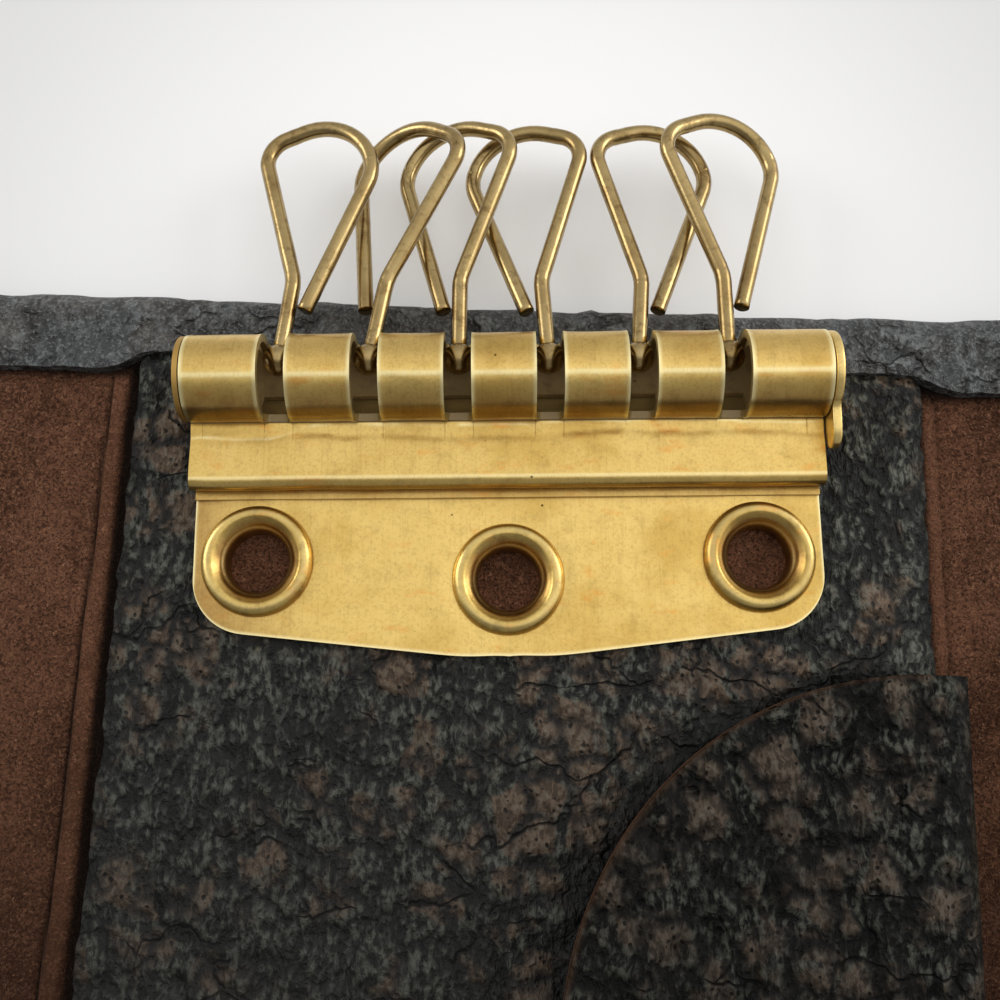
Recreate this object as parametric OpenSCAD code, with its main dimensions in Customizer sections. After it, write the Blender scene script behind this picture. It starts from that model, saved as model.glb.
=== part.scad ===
// Folding key case: a leather case in three leaves round a brass frame with six key hooks.
// The case lies open on its back. X runs along the case, Y towards its hook edge, Z up.
// The origin is on the underside of the middle leaf, below the middle of the brass frame.

/* [Case] */
// Distance from the origin to the hook edge of the case
case_top = 21.3; // [18:0.1:26]
// Distance from the origin to the far edge of the case
case_foot = 72.7; // [64:0.1:90]
// Distance from the origin to the left fold
fold_left = 33.5; // [31.5:0.1:40]
// Distance from the origin to the right fold
fold_right = 34.2; // [33:0.1:40]
// Distance from the snap's stud to the left flap's free edge
stud_margin_w = 6.9; // [6:0.1:12]
// Width of the right flap
right_flap_w = 20; // [17:0.1:30]
// Corner radius of the flaps
corner_r = 6; // [4:0.1:10]
// Height of the left fold's axis above the table
left_axis_z = 7.7; // [7.6:0.1:12]
// Height of the right fold's axis above the table
right_axis_z = 9.6; // [9.5:0.1:14]
// How far the right flap reaches past its axis to meet the middle leaf
right_root = 0.65; // [0:0.05:0.7]

/* [Leather] */
// Thickness of the outer leather
leather_t = 1.2; // [0.8:0.05:1.6]
// Thickness of the filler board
board_t = 0.5; // [0.3:0.05:1]
// Thickness of the suede lining
suede_t = 0.7; // [0.4:0.05:1.2]
// Width of the turned hem along the hook edge and the far edge
flap_hem = 6.7; // [5:0.1:9]
// Width of the turned hem over the centre panel
panel_hem = 5.3; // [4:0.1:6.5]
// Distance from the origin to the panel's left edge
panel_left = 30.3; // [28:0.1:31]
// Distance from the origin to the panel's right edge
panel_right = 32.7; // [30:0.1:32.8]
// How far the panel's thinned ends reach below the hem
panel_tuck = 3; // [1:0.1:4]

/* [Key guard] */
// Radius of the guard leaf's curved edge
guard_r = 26.2; // [20:0.1:27]
// Centre of that curve, across the case
guard_x = 30.8; // [28:0.1:31]
// Centre of that curve, below the origin
guard_y = 34.3; // [32:0.1:38]
// Distance from the origin to the guard's folded right edge
guard_edge = 34; // [31.5:0.1:34]
// Height of the guard's face above the panel
guard_h = 4.6; // [4:0.1:5.5]
// Thickness of the guard's facing leather
guard_t = 1.1; // [0.8:0.05:1.4]
// Thickness of the guard's backing
guard_back_t = 0.6; // [0.3:0.05:0.8]
// Width of the guard's foot on the panel
guard_foot = 7; // [5:0.1:12]

/* [Brass frame] */
// How far the frame sits askew on the panel, in degrees
frame_turn = 2.4; // [0:0.1:3]
// Thickness of the brass sheet
sheet_t = 0.6; // [0.5:0.05:0.7]
// Half width of the strip and the barrel
barrel_half_w = 24.5; // [23:0.1:27]
// How much narrower the flange is at each side
flange_step_w = 0.2; // [0.1:0.05:0.4]
// How far the flange's point reaches below the eyelets' line
flange_point = 7.9; // [7:0.1:10]
// How far the flange's sides reach below the eyelets' line before the corner
flange_side = 5.2; // [4.8:0.1:6]
// Corner radius of the flange
flange_corner_r = 4.35; // [3.5:0.05:4.6]
// Height of the strip's face above the flange
strip_z = 2; // [1.8:0.05:2.3]
// Distance from the eyelets' line to the strip's rolled edge
strip_edge = 5.35; // [5:0.05:6]
// Radius of the strip's rolled edge
strip_roll_r = 0.85; // [0.8:0.01:0.95]
// Height of the narrow ledge below the strip
ledge_h = 0.35; // [0.25:0.05:0.4]
// Distance from the eyelets' line to the ledge
ledge_edge = 4.8; // [4.6:0.05:5]
// Outer radius of the barrel
barrel_r = 3.4; // [3.3:0.05:3.7]
// Distance from the eyelets' line to the barrel's axis
barrel_y = 13.84; // [13.5:0.01:15]
// Distance between neighbouring slots as a share of the barrel's half width
slot_pitch_share = 0.2857; // [0.28:0.0001:0.29]
// Width of a slot
slot_w = 2.1; // [2:0.05:2.3]
// Sideways shift of the row of slots
slot_shift = -0.2; // [-0.4:0.05:0.4]

/* [Eyelets] */
// Distance from the middle of the frame to the outer eyelets as a share of its half width
eyelet_share = 0.792; // [0.75:0.001:0.8]
// How far the middle eyelet lies below the outer ones
eyelet_drop = 1.57; // [0:0.01:2.5]
// Outer radius of the rolled rim
eyelet_r = 4.33; // [4.2:0.01:4.5]
// Radius of the hole
eyelet_hole_r = 2.3; // [2:0.05:2.5]
// Radius of the eyelet's tube
eyelet_tube_r = 2.75; // [2.6:0.05:3]
// Height of the rolled rim
eyelet_rim_h = 0.73; // [0.5:0.01:0.9]

/* [Lock tube] */
// Wall of the lock tube
tube_wall = 0.47; // [0.4:0.01:0.6]
// Running clearance between the lock tube and the barrel
tube_clear = 0.08; // [0.05:0.01:0.1]
// Width of a window in the lock tube
window_w = 2.9; // [2.8:0.05:3.2]
// Turn of the release lever, in degrees
lever_turn = 40; // [20:1:42]
// Thickness of the release lever
lever_t = 0.7; // [0.5:0.05:1]
// Reach of the lever's thumb tab from the barrel's axis
lever_reach = 6.1; // [5:0.1:7]
// Height of the thumb tab
lever_tab_h = 2.6; // [2:0.1:3.2]

/* [Hooks] */
// Diameter of the hook wire
wire_d = 1.26; // [1.2:0.01:1.35]
// Radius of the ball at a hook's end
ball_r = 1.25; // [1.2:0.01:1.3]
// Length of the straight shank, from the barrel's axis to its bend
shank_l = 8.5; // [8:0.1:9]
// Length of a hook, from the barrel's axis to the top of its corner
hook_l = 24.4; // [24:0.1:25]
// Swing of the hooks from the photographed rest to lying folded in the case
hook_swing = 178; // [90:1:178]

/* [Snap fastener] */
// Distance of the snap from the right fold
snap_reach = 7.9; // [7.5:0.1:9]
// Distance of the snap below the origin
snap_y = 20.8; // [18:0.1:40]
// Radius of the socket and the cap
snap_r = 5.4; // [5:0.1:5.7]
// Height of the cap's dome
cap_h = 1; // [0.8:0.05:1.2]
// Radius of the rivet head that holds the stud from the inside
rivet_r = 3.2; // [2.8:0.05:3.2]
// Radius of the stud's head
stud_r = 1.9; // [1.7:0.05:2]
// Height of the stud above the leather
stud_h = 2.3; // [2:0.05:2.4]
// Clearance between the stud and the socket
snap_clear = 0.12; // [0.1:0.01:0.2]

/* [Hidden] */
$fn = 48;
// Overrun of a cut past the face that it opens
cut = 1;
// Gap between pieces that lie side by side without being joined
side_gap = 0.1;
// Levels of the layers, from the table up
board_z = leather_t;
suede_z = board_z + board_t;
inside_z = suede_z + suede_t;
top_z = inside_z + leather_t;
edge_r = top_z / 2;
left_flap_w = fold_left + fold_right - snap_reach + stud_margin_w;
edge_hem = stud_margin_w - rivet_r - side_gap;
case_w = fold_left + fold_right;
case_h = case_top + case_foot;
// How far the filler board and the lining stay inside the folded edge
board_inset = leather_t + 4 * side_gap;
suede_inset = leather_t + 2 * side_gap;
// The hem widens beside the panel, past this margin
hem_margin = 1.6;
// Thickness of the panel's thinned ends
tuck_t = 0.5;
// Brass frame: its own zero is the top of the flange, midway between the outer eyelets
frame_z = top_z + sheet_t;
axis_z = barrel_r - sheet_t;
bore_r = barrel_r - sheet_t;
flange_half_w = barrel_half_w - flange_step_w;
eyelet_x = eyelet_share * barrel_half_w;
slot_pitch = slot_pitch_share * barrel_half_w;
slot_xs = [for (i = [0:5]) slot_shift + slot_pitch * (i - 2.5)];
// Directions round the barrel's axis, from its back over the top to its front
strip_angle = 180 + asin((axis_z - strip_z) / barrel_r);
slot_back = -26;
slot_front = strip_angle - 2.5;
slot_reach = barrel_r + side_gap;
// How far the walls beside the slots are dressed back
slot_relief = 0.03;
sheet_end = strip_angle + 12;
seam_angle = (sheet_end + 270) / 2;
// How each hook rests: which side its loop opens to, its lean in the slot, the twist of its loop
// about its own shank and its lift from level, in degrees
hook_sides = [1, -1, -1, -1, 1, 1];
hook_leans = [6.8, 10.4, 0.7, -3.7, 5, 0.2];
hook_twists = [10, -28, -20, -12, -8, -14];
hook_lifts = [-5, -4.5, -6, -7.5, -7.5, -4];
// Lock tube
tube_r = bore_r - tube_clear;
tube_hole_r = tube_r - tube_wall;
ball_seat = bore_r - ball_r - tube_clear / 2;
// Angle that a hook's ball takes up in the wall of the lock tube, and the play beside it
ball_angle = acos((ball_seat * ball_seat + tube_hole_r * tube_hole_r - ball_r * ball_r)
    / (2 * ball_seat * tube_hole_r));
window_play = 3;
window_back = min(hook_lifts) - ball_angle - window_play;
window_front = max(hook_lifts) + hook_swing + lever_turn + ball_angle + window_play;
spine_angle = (window_front + window_back + 360) / 2;
tube_rim_t = 0.4;
lever_gap = 0.12;
// Hooks: corners of the wire's centre line, sideways as shares of the slots' pitch and along
// the hook as shares of its length, of its shank's length and of the wire
wire_r = wire_d / 2;
loop_left_share = -0.686;
loop_left_rise_share = 0.852;
loop_top_share = 0.457;
loop_right_share = 0.728;
loop_right_rise_share = 0.758;
hook_tip_share = 1.1;
hook_tip_rise_share = 0.69;
bend_r = 4;
shoulder_r = 2.2;
crown_r = 4.6;
return_r = 3.4;
wire_seat = 0.015;
// Snap fastener
stud_flange_t = 0.5;
stud_flange_r = snap_r - 2 * stud_flange_t;
socket_rim_h = 0.8;
socket_ring_w = 1.3;
post_r = 1.2;
post_hole_r = post_r + side_gap / 2;
socket_hole_r = stud_r + snap_clear;
socket_floor_t = 0.2;
socket_cup_r = socket_hole_r + 2 * socket_floor_t;
dome_r = (snap_r * snap_r + cap_h * cap_h) / (2 * cap_h);
stud_reach = fold_left + fold_right - snap_reach;
// Lift of each flap where its snap part touches the table
left_low = left_axis_z + stud_h;
left_near = stud_reach - stud_r;
left_lift = atan2(left_low, left_near)
    - asin(left_axis_z / sqrt(left_near * left_near + left_low * left_low));
dome_rise = dome_r - cap_h - right_axis_z;
right_far = sqrt(snap_reach * snap_reach + dome_rise * dome_rise);
right_lift = asin((dome_r - right_axis_z) / right_far) - atan2(dome_rise, snap_reach);

leather_colour = "#3b3633";
suede_colour = "#6b3d2e";
board_colour = "#b7a98a";
brass_colour = "#c9a44a";
wire_colour = "#a8874a";
tube_colour = "#4a4028";

// Half of a round edge in section, its flat on the Y axis
module half_round(r) {
    intersection() {
        circle(r);
        translate([0, -r]) square([r, 2 * r]);
    }
}

// Outline of a flap from its root to its free edge, drawn in by a margin on three sides
module flap_outline(w, root, inset) {
    r = corner_r - inset;
    translate([-root, inset - case_foot]) square([w + root - corner_r, case_h - 2 * inset]);
    translate([-root, corner_r - case_foot])
        square([w + root - inset, case_h - 2 * corner_r]);
    for (y = [corner_r - case_foot, case_top - corner_r])
        translate([w - corner_r, y]) circle(max(r, edge_r));
}

// Leather of a flap: a sheet whose three outer edges roll over onto the inside as a hem
module flap_shell(w, root) {
    difference() {
        union() {
            linear_extrude(top_z) flap_outline(w, root, edge_r);
            rolled_edges(w, root);
        }
        translate([0, 0, board_z]) linear_extrude(suede_t + board_t)
            flap_outline(w, root + cut, leather_t);
        translate([-root - cut, flap_hem - case_foot, inside_z])
            cube([w + root + cut - edge_hem, case_h - 2 * flap_hem, leather_t + cut]);
    }
}

module rolled_edges(w, root) {
    run = w - corner_r;
    for (side = [0, 1]) {
        y = side == 0 ? edge_r - case_foot : case_top - edge_r;
        translate([-root, y, edge_r]) rotate([90, 0, 90]) linear_extrude(run + root)
            rotate(side == 0 ? 180 : 0) half_round(edge_r);
    }
    translate([w - edge_r, corner_r - case_foot, edge_r]) rotate([-90, 0, 0])
        linear_extrude(case_h - 2 * corner_r) half_round(edge_r);
    for (side = [0, 1]) {
        y = side == 0 ? corner_r - case_foot : case_top - corner_r;
        translate([run, y, edge_r]) rotate([0, 0, side == 0 ? -90 : 0])
            rotate_extrude(angle = 90)
            translate([corner_r - edge_r, 0]) half_round(edge_r);
    }
}

// Places a flap's pieces at its fold, lifted as it rests on its snap part
module on_left() {
    translate([-fold_left, 0, left_axis_z]) rotate([0, left_lift, 0])
        translate([0, 0, -left_axis_z]) mirror([1, 0, 0]) children();
}

module on_right() {
    translate([fold_right, 0, right_axis_z]) rotate([0, -right_lift, 0])
        translate([0, 0, -right_axis_z]) children();
}

// Leather of the middle leaf, its two long edges rolled over onto the inside
module shell_centre() {
    color(leather_colour) difference() {
        translate([-fold_left, 0, 0]) rotate([90, 0, 90]) linear_extrude(case_w)
            shell_section();
        hem_steps();
        panel_tucks(side_gap);
    }
}

module shell_section() {
    difference() {
        union() {
            translate([edge_r - case_foot, 0]) square([case_h - top_z, top_z]);
            translate([edge_r - case_foot, edge_r]) rotate(180) half_round(edge_r);
            translate([case_top - edge_r, edge_r]) half_round(edge_r);
        }
        translate([leather_t - case_foot, board_z])
            square([case_h - 2 * leather_t, board_t + suede_t]);
        translate([flap_hem - case_foot, inside_z])
            square([case_h - 2 * flap_hem, leather_t + cut]);
    }
}

// The hem draws back over the width of the panel
module hem_steps() {
    w = panel_left + panel_right + 2 * hem_margin;
    translate([-panel_left - hem_margin, panel_hem - case_foot, inside_z])
        cube([w, case_h - 2 * panel_hem, leather_t + cut]);
}

// The panel's thinned ends, which slip below the hem
module panel_tucks(clear) {
    reach = panel_hem - panel_tuck - clear;
    translate([-panel_left - clear, reach - case_foot, inside_z])
        cube([panel_left + panel_right + 2 * clear, case_h - 2 * reach, tuck_t + clear / 2]);
}

// Hole through a flap's layers for a part of the snap fastener
module snap_hole(reach, r) {
    translate([reach, -snap_y, -cut]) cylinder(r = r, h = top_z + 2 * cut);
}

module shell_left() {
    color(leather_colour) on_left() difference() {
        flap_shell(left_flap_w, 0);
        snap_hole(stud_reach, post_hole_r);
    }
}

module shell_right() {
    color(leather_colour) on_right() difference() {
        flap_shell(right_flap_w, right_root);
        snap_hole(snap_reach, post_hole_r);
    }
}

// A flat layer inside a flap
module flap_layer(w, root, inset, z, t) {
    translate([0, 0, z]) linear_extrude(t) flap_outline(w, root, inset);
}

// A flat layer inside the middle leaf
module centre_layer(inset, z, t) {
    translate([-fold_left, inset - case_foot, z])
        cube([case_w, case_h - 2 * inset, t]);
}

module board_centre() {
    color(board_colour) centre_layer(board_inset, board_z, board_t);
}

module board_left() {
    color(board_colour) on_left() difference() {
        flap_layer(left_flap_w, 0, board_inset, board_z, board_t);
        snap_hole(stud_reach, post_hole_r);
    }
}

module board_right() {
    color(board_colour) on_right() difference() {
        flap_layer(right_flap_w, right_root, board_inset, board_z, board_t);
        snap_hole(snap_reach, socket_cup_r + side_gap / 2);
    }
}

module lining_centre() {
    color(suede_colour) centre_layer(suede_inset, suede_z, suede_t);
}

module lining_left() {
    color(suede_colour) on_left() difference() {
        flap_layer(left_flap_w, 0, suede_inset, suede_z, suede_t);
        snap_hole(stud_reach, post_hole_r);
    }
}

module lining_right() {
    color(suede_colour) on_right() difference() {
        flap_layer(right_flap_w, right_root, suede_inset, suede_z, suede_t);
        snap_hole(snap_reach, socket_cup_r + side_gap / 2);
    }
}

// Grained leather panel that carries the brass frame
module centre_panel() {
    color(leather_colour) difference() {
        union() {
            translate([-panel_left, panel_hem + side_gap - case_foot, inside_z])
                cube([panel_left + panel_right, case_h - 2 * panel_hem - 2 * side_gap,
                    leather_t]);
            panel_tucks(0);
        }
        on_frame() eyelet_holes(eyelet_tube_r + side_gap / 2, top_z);
        on_frame() eyelet_recesses();
    }
}

guard_bend_r = guard_h / 2;
guard_bend_x = guard_edge - guard_bend_r;

// Disc that rounds the guard's outline
module guard_disc() {
    translate([guard_x, -guard_y, 0]) cylinder(r = guard_r, h = 2 * (top_z + guard_h), $fn = 96);
}

// Runs a section drawn across the case along the guard
module along_guard() {
    translate([0, guard_r + cut - guard_y, top_z]) rotate([90, 0, 0])
        linear_extrude(2 * (guard_r + cut)) children();
}

// Guard leaf: the face over the keys, the round fold at its right and the foot below it
module guard_leaf() {
    left = guard_x - guard_r - cut;
    color(leather_colour) intersection() {
        along_guard() {
            translate([left, guard_h - guard_t]) square([guard_bend_x - left, guard_t]);
            translate([guard_bend_x, guard_bend_r]) difference() {
                half_round(guard_bend_r);
                circle(guard_bend_r - guard_t);
            }
            translate([guard_bend_x - guard_foot, 0]) square([guard_foot, guard_t]);
        }
        guard_disc();
    }
}

module guard_backing() {
    left = guard_x - guard_r - cut;
    color(suede_colour) intersection() {
        along_guard() translate([left, guard_h - guard_t - guard_back_t])
            square([guard_bend_x - guard_t - left, guard_back_t]);
        guard_disc();
    }
}

// Places a piece on the brass frame, which sits slightly askew on the panel
module on_frame() {
    translate([0, 0, frame_z]) rotate([0, 0, frame_turn]) children();
}

module at_eyelets() {
    for (p = [[-eyelet_x, 0], [0, -eyelet_drop], [eyelet_x, 0]])
        translate([p[0], p[1], 0]) children();
}

module eyelet_holes(r, depth) {
    at_eyelets() translate([0, 0, -depth]) cylinder(r = r, h = depth + cut);
}

eyelet_foot_t = 0.25;
eyelet_foot_r = eyelet_tube_r + 3 * eyelet_foot_t;

module eyelet_recesses() {
    at_eyelets() translate([0, 0, -sheet_t - leather_t - cut])
        cylinder(r = eyelet_foot_r + side_gap / 2, h = cut + eyelet_foot_t + side_gap / 2);
}

// Flange seen from above: straight sides, round corners and a blunt point
module flange_outline() {
    slope = atan2(flange_point - flange_side, flange_half_w);
    run = flange_corner_r * tan(45 - slope / 2);
    polygon([
        [-flange_half_w, barrel_y], [-flange_half_w, run - flange_side],
        [run * cos(slope) - flange_half_w, -flange_side - run * sin(slope)],
        [0, -flange_point],
        [flange_half_w - run * cos(slope), -flange_side - run * sin(slope)],
        [flange_half_w, run - flange_side], [flange_half_w, barrel_y]]);
    for (side = [-1, 1])
        translate([side * (flange_half_w - flange_corner_r), run - flange_side])
            circle(flange_corner_r);
}

// Section of the strip and its rolled edge, Y to the right and Z up
module strip_section() {
    roll_y = strip_edge + strip_roll_r;
    difference() {
        translate([roll_y, strip_z - sheet_t])
            square([barrel_y - roll_y - bore_r / 2, sheet_t]);
        translate([barrel_y, axis_z]) circle(bore_r, $fn = 96);
    }
    translate([roll_y, strip_z - strip_roll_r]) rotate(180) difference() {
        half_round(strip_roll_r);
        circle(strip_roll_r - sheet_t);
    }
}

// Section of the barrel's wall: from the flange up over the back and down to the strip
module barrel_wall(relief) {
    far = 3 * barrel_r;
    difference() {
        rotate(seam_angle) circle(barrel_r - relief, $fn = 96);
        rotate(seam_angle) circle(bore_r + relief, $fn = 96);
        polygon([[0, 0], [far * cos(sheet_end), far * sin(sheet_end)],
            [-far, -far], [0, -far]]);
    }
}

// Sector that a slot or a window takes out of a tube round the barrel's axis
module sector(r, from, to) {
    steps = 6;
    far = 2 * r;
    intersection() {
        circle(r, $fn = 96);
        polygon(concat([[0, 0]], [for (i = [0:steps])
            let (a = from + (to - from) * i / steps) [far * cos(a), far * sin(a)]]));
    }
}

module around_axis(x, w) {
    translate([x - w / 2, barrel_y, axis_z]) rotate([90, 0, 90]) linear_extrude(w)
        children();
}

// The lands of a slotted tube: what is left of it between and beside the slots
module lands(left, right, w) {
    for (i = [0:len(slot_xs)]) {
        from = i == 0 ? left : slot_xs[i - 1] + w / 2;
        to = i == len(slot_xs) ? right : slot_xs[i] - w / 2;
        around_axis((from + to) / 2, to - from) children();
    }
}

// The brass frame, one sheet: flange, ledge, strip and slotted barrel
module key_frame() {
    width = 2 * barrel_half_w;
    color(brass_colour) on_frame() difference() {
        union() {
            translate([0, 0, -sheet_t]) linear_extrude(sheet_t) flange_outline();
            translate([-flange_half_w, ledge_edge, 0])
                cube([2 * flange_half_w, 2 * strip_roll_r, ledge_h]);
            translate([-barrel_half_w, 0, 0]) rotate([90, 0, 90])
                linear_extrude(width) strip_section();
            lands(-barrel_half_w, barrel_half_w, slot_w) barrel_wall(0);
            around_axis(0, width - slot_w) difference() {
                barrel_wall(slot_relief);
                sector(slot_reach, slot_back, slot_front);
            }
        }
        eyelet_holes(eyelet_tube_r + side_gap / 2, sheet_t + cut);
    }
}

// Rolled eyelet: a bell-mouthed tube, its foot spread out behind the panel
module eyelet(p) {
    crown = eyelet_r - eyelet_rim_h;
    mouth = crown - eyelet_hole_r;
    color(brass_colour) on_frame() translate([p[0], p[1], 0]) rotate_extrude($fn = 64) {
        translate([crown, 0]) intersection() {
            circle(eyelet_rim_h);
            square(eyelet_rim_h);
        }
        intersection() {
            translate([eyelet_hole_r, 0]) square([mouth, eyelet_rim_h]);
            translate([crown, eyelet_rim_h - mouth]) circle(mouth);
        }
        translate([eyelet_hole_r, -sheet_t - leather_t]) difference() {
            union() {
                square([eyelet_tube_r - eyelet_hole_r, sheet_t + leather_t]);
                square([eyelet_foot_r - eyelet_hole_r, eyelet_foot_t]);
            }
            translate([0, sheet_t + leather_t + eyelet_rim_h - mouth]) difference() {
                square([mouth, mouth]);
                translate([mouth, 0]) circle(mouth);
            }
        }
    }
}

module eyelet_left() { eyelet([-eyelet_x, 0]); }

module eyelet_middle() { eyelet([0, -eyelet_drop]); }

module eyelet_right() { eyelet([eyelet_x, 0]); }

// Lock tube: turns inside the barrel, open at each slot so that the hooks' balls can pass
module lock_tube() {
    left = -barrel_half_w - lever_gap - tube_rim_t;
    color(tube_colour) on_frame() {
        lands(left, barrel_half_w, window_w) difference() {
            rotate(spine_angle) circle(tube_r, $fn = 96);
            rotate(spine_angle) circle(tube_hole_r, $fn = 96);
        }
        around_axis(left + tube_rim_t / 2, tube_rim_t) difference() {
            rotate(spine_angle) circle(barrel_r - lever_gap, $fn = 96);
            rotate(spine_angle) circle(tube_r - tube_wall / 2, $fn = 96);
        }
        around_axis(0, 2 * barrel_half_w - window_w) difference() {
            rotate(spine_angle) circle(tube_r - slot_relief, $fn = 96);
            rotate(spine_angle) circle(tube_hole_r + slot_relief, $fn = 96);
            sector(slot_reach, window_back, window_front);
        }
    }
}

// Release lever: a disc on the lock tube's end with a thumb tab towards the strip
module release_lever() {
    boss = tube_r - tube_wall;
    color(brass_colour) on_frame() {
        around_axis(barrel_half_w + lever_gap + lever_t / 2, lever_t) {
            circle(barrel_r - lever_gap, $fn = 96);
            translate([-lever_reach + lever_tab_h / 2, -lever_tab_h / 2])
                square([lever_reach - lever_tab_h / 2, lever_tab_h]);
            translate([-lever_reach + lever_tab_h / 2, 0]) circle(lever_tab_h / 2);
        }
        around_axis(barrel_half_w - boss / 2 + lever_gap, boss) circle(boss, $fn = 96);
    }
}

hook_points = [
    [0, ball_seat],
    [0, shank_l],
    [loop_left_share * slot_pitch, loop_left_rise_share * hook_l],
    [loop_top_share * slot_pitch, hook_l],
    [loop_right_share * slot_pitch, loop_right_rise_share * hook_l],
    [hook_tip_share * wire_d, hook_tip_rise_share * shank_l]];
hook_radii = [0, bend_r, shoulder_r, crown_r, return_r, 0];

function unit(v) = v / norm(v);
// Half the turn of the wire at a corner, in degrees
function half_turn(i) =
    acos(unit(hook_points[i] - hook_points[i - 1]) * unit(hook_points[i + 1] - hook_points[i])) / 2;
// Length that a corner's arc takes from the straight runs beside it
function trim(i) =
    i == 0 || i == len(hook_points) - 1 ? 0 : hook_radii[i] * tan(half_turn(i));

// A straight run of wire between two corners' arcs, with a ball that seats it in each arc
module wire_run(i) {
    a = hook_points[i];
    b = hook_points[i + 1];
    along = unit(b - a);
    length = norm(b - a) - trim(i) - trim(i + 1);
    start = a + trim(i) * along;
    translate([start[0], start[1], 0]) rotate([0, 0, atan2(along[1], along[0])])
        rotate([0, 90, 0]) {
            cylinder(r = wire_r, h = length, $fn = 24);
            if (i > 0) sphere(wire_r + wire_seat, $fn = 24);
            if (i < len(hook_points) - 2) translate([0, 0, length])
                sphere(wire_r + wire_seat, $fn = 24);
        }
}

// A round bend of wire at a corner
module wire_bend(i) {
    into = unit(hook_points[i] - hook_points[i - 1]);
    out = unit(hook_points[i + 1] - hook_points[i]);
    left = into[0] * out[1] - into[1] * out[0] > 0 ? 1 : -1;
    centre = hook_points[i] - trim(i) * into + left * hook_radii[i] * [-into[1], into[0]];
    from = atan2(-left * into[0], left * into[1]);
    translate([centre[0], centre[1], 0])
        rotate([0, 0, left > 0 ? from : from - 2 * half_turn(i)])
        rotate_extrude(angle = 2 * half_turn(i))
        translate([hook_radii[i], 0]) circle(wire_r, $fn = 24);
}

// Key hook: a wire loop whose free end springs against its shank, and a ball that the slot holds
module hook(i) {
    last = len(hook_points) - 1;
    twist = hook_sides[i] > 0 ? -hook_twists[i] : 180 + hook_twists[i];
    color(wire_colour) on_frame() translate([slot_xs[i], barrel_y, axis_z])
        rotate([hook_lifts[i], 0, 0]) translate([0, ball_seat, 0])
        rotate([0, 0, -hook_leans[i]]) rotate([0, twist, 0])
        translate([0, -ball_seat, 0]) {
            for (k = [0:last - 1]) wire_run(k);
            for (k = [1:last - 1]) wire_bend(k);
            translate([0, ball_seat, 0]) sphere(ball_r, $fn = 32);
        }
}

module hook_1() { hook(0); }

module hook_2() { hook(1); }

module hook_3() { hook(2); }

module hook_4() { hook(3); }

module hook_5() { hook(4); }

module hook_6() { hook(5); }

// Socket of the right flap: a raised ring and a cup that takes the stud
module snap_socket() {
    bead = socket_rim_h / 2;
    deep = inside_z - board_z;
    color(brass_colour) on_right() translate([snap_reach, -snap_y, inside_z])
        rotate_extrude($fn = 64) {
            translate([socket_hole_r, 0]) square([snap_r - socket_hole_r - bead, bead]);
            translate([socket_hole_r, 0]) square([socket_ring_w, socket_rim_h]);
            translate([snap_r - bead, 0]) intersection() {
                circle(bead);
                translate([-bead, 0]) square([2 * bead, bead]);
            }
            translate([socket_hole_r, -deep])
                square([socket_cup_r - socket_hole_r, deep + bead]);
            translate([0, -deep]) square([socket_cup_r, socket_floor_t]);
        }
}

// A shallow dome over a given radius
module dome(r, h) {
    rotate_extrude($fn = 64) intersection() {
        translate([0, h - dome_r]) circle(dome_r, $fn = 256);
        square([r, h]);
    }
}

// Domed cap on the outside of the right flap, its post pressed against the socket's cup
module snap_cap() {
    color(brass_colour) on_right() translate([snap_reach, -snap_y, 0]) {
        rotate([180, 0, 0]) dome(snap_r, cap_h);
        cylinder(r = post_r, h = board_z);
    }
}

// Stud on the outside of the left flap, near its free edge
module snap_stud() {
    neck = stud_r - 2 * snap_clear;
    head = stud_h - stud_flange_t;
    color(brass_colour) on_left() translate([stud_reach, -snap_y, 0]) rotate([180, 0, 0]) {
        cylinder(r = stud_flange_r, h = stud_flange_t);
        cylinder(r = neck, h = stud_h - head / 2);
        translate([0, 0, stud_h - head / 2]) cylinder(r = stud_r, h = head / 2);
    }
}

// Rivet that holds the stud from the inside of the left flap
module snap_rivet() {
    color(brass_colour) on_left() translate([stud_reach, -snap_y, 0]) {
        translate([0, 0, inside_z]) dome(rivet_r, stud_flange_t);
        cylinder(r = post_r, h = inside_z);
    }
}

shell_centre();
shell_left();
shell_right();
board_centre();
board_left();
board_right();
lining_centre();
lining_left();
lining_right();
centre_panel();
guard_leaf();
guard_backing();
key_frame();
eyelet_left();
eyelet_middle();
eyelet_right();
lock_tube();
release_lever();
hook_1();
hook_2();
hook_3();
hook_4();
hook_5();
hook_6();
snap_socket();
snap_cap();
snap_stud();
snap_rivet();
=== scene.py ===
"""Folding key case, opened flat: grained leather, suede lining, brass frame and six key hooks.

Lengths in this file are millimetres, with X along the case, Y towards its hook edge and Z up;
make_piece turns them into metres.
"""

import bpy
import numpy as np
from mathutils import Matrix


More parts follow.
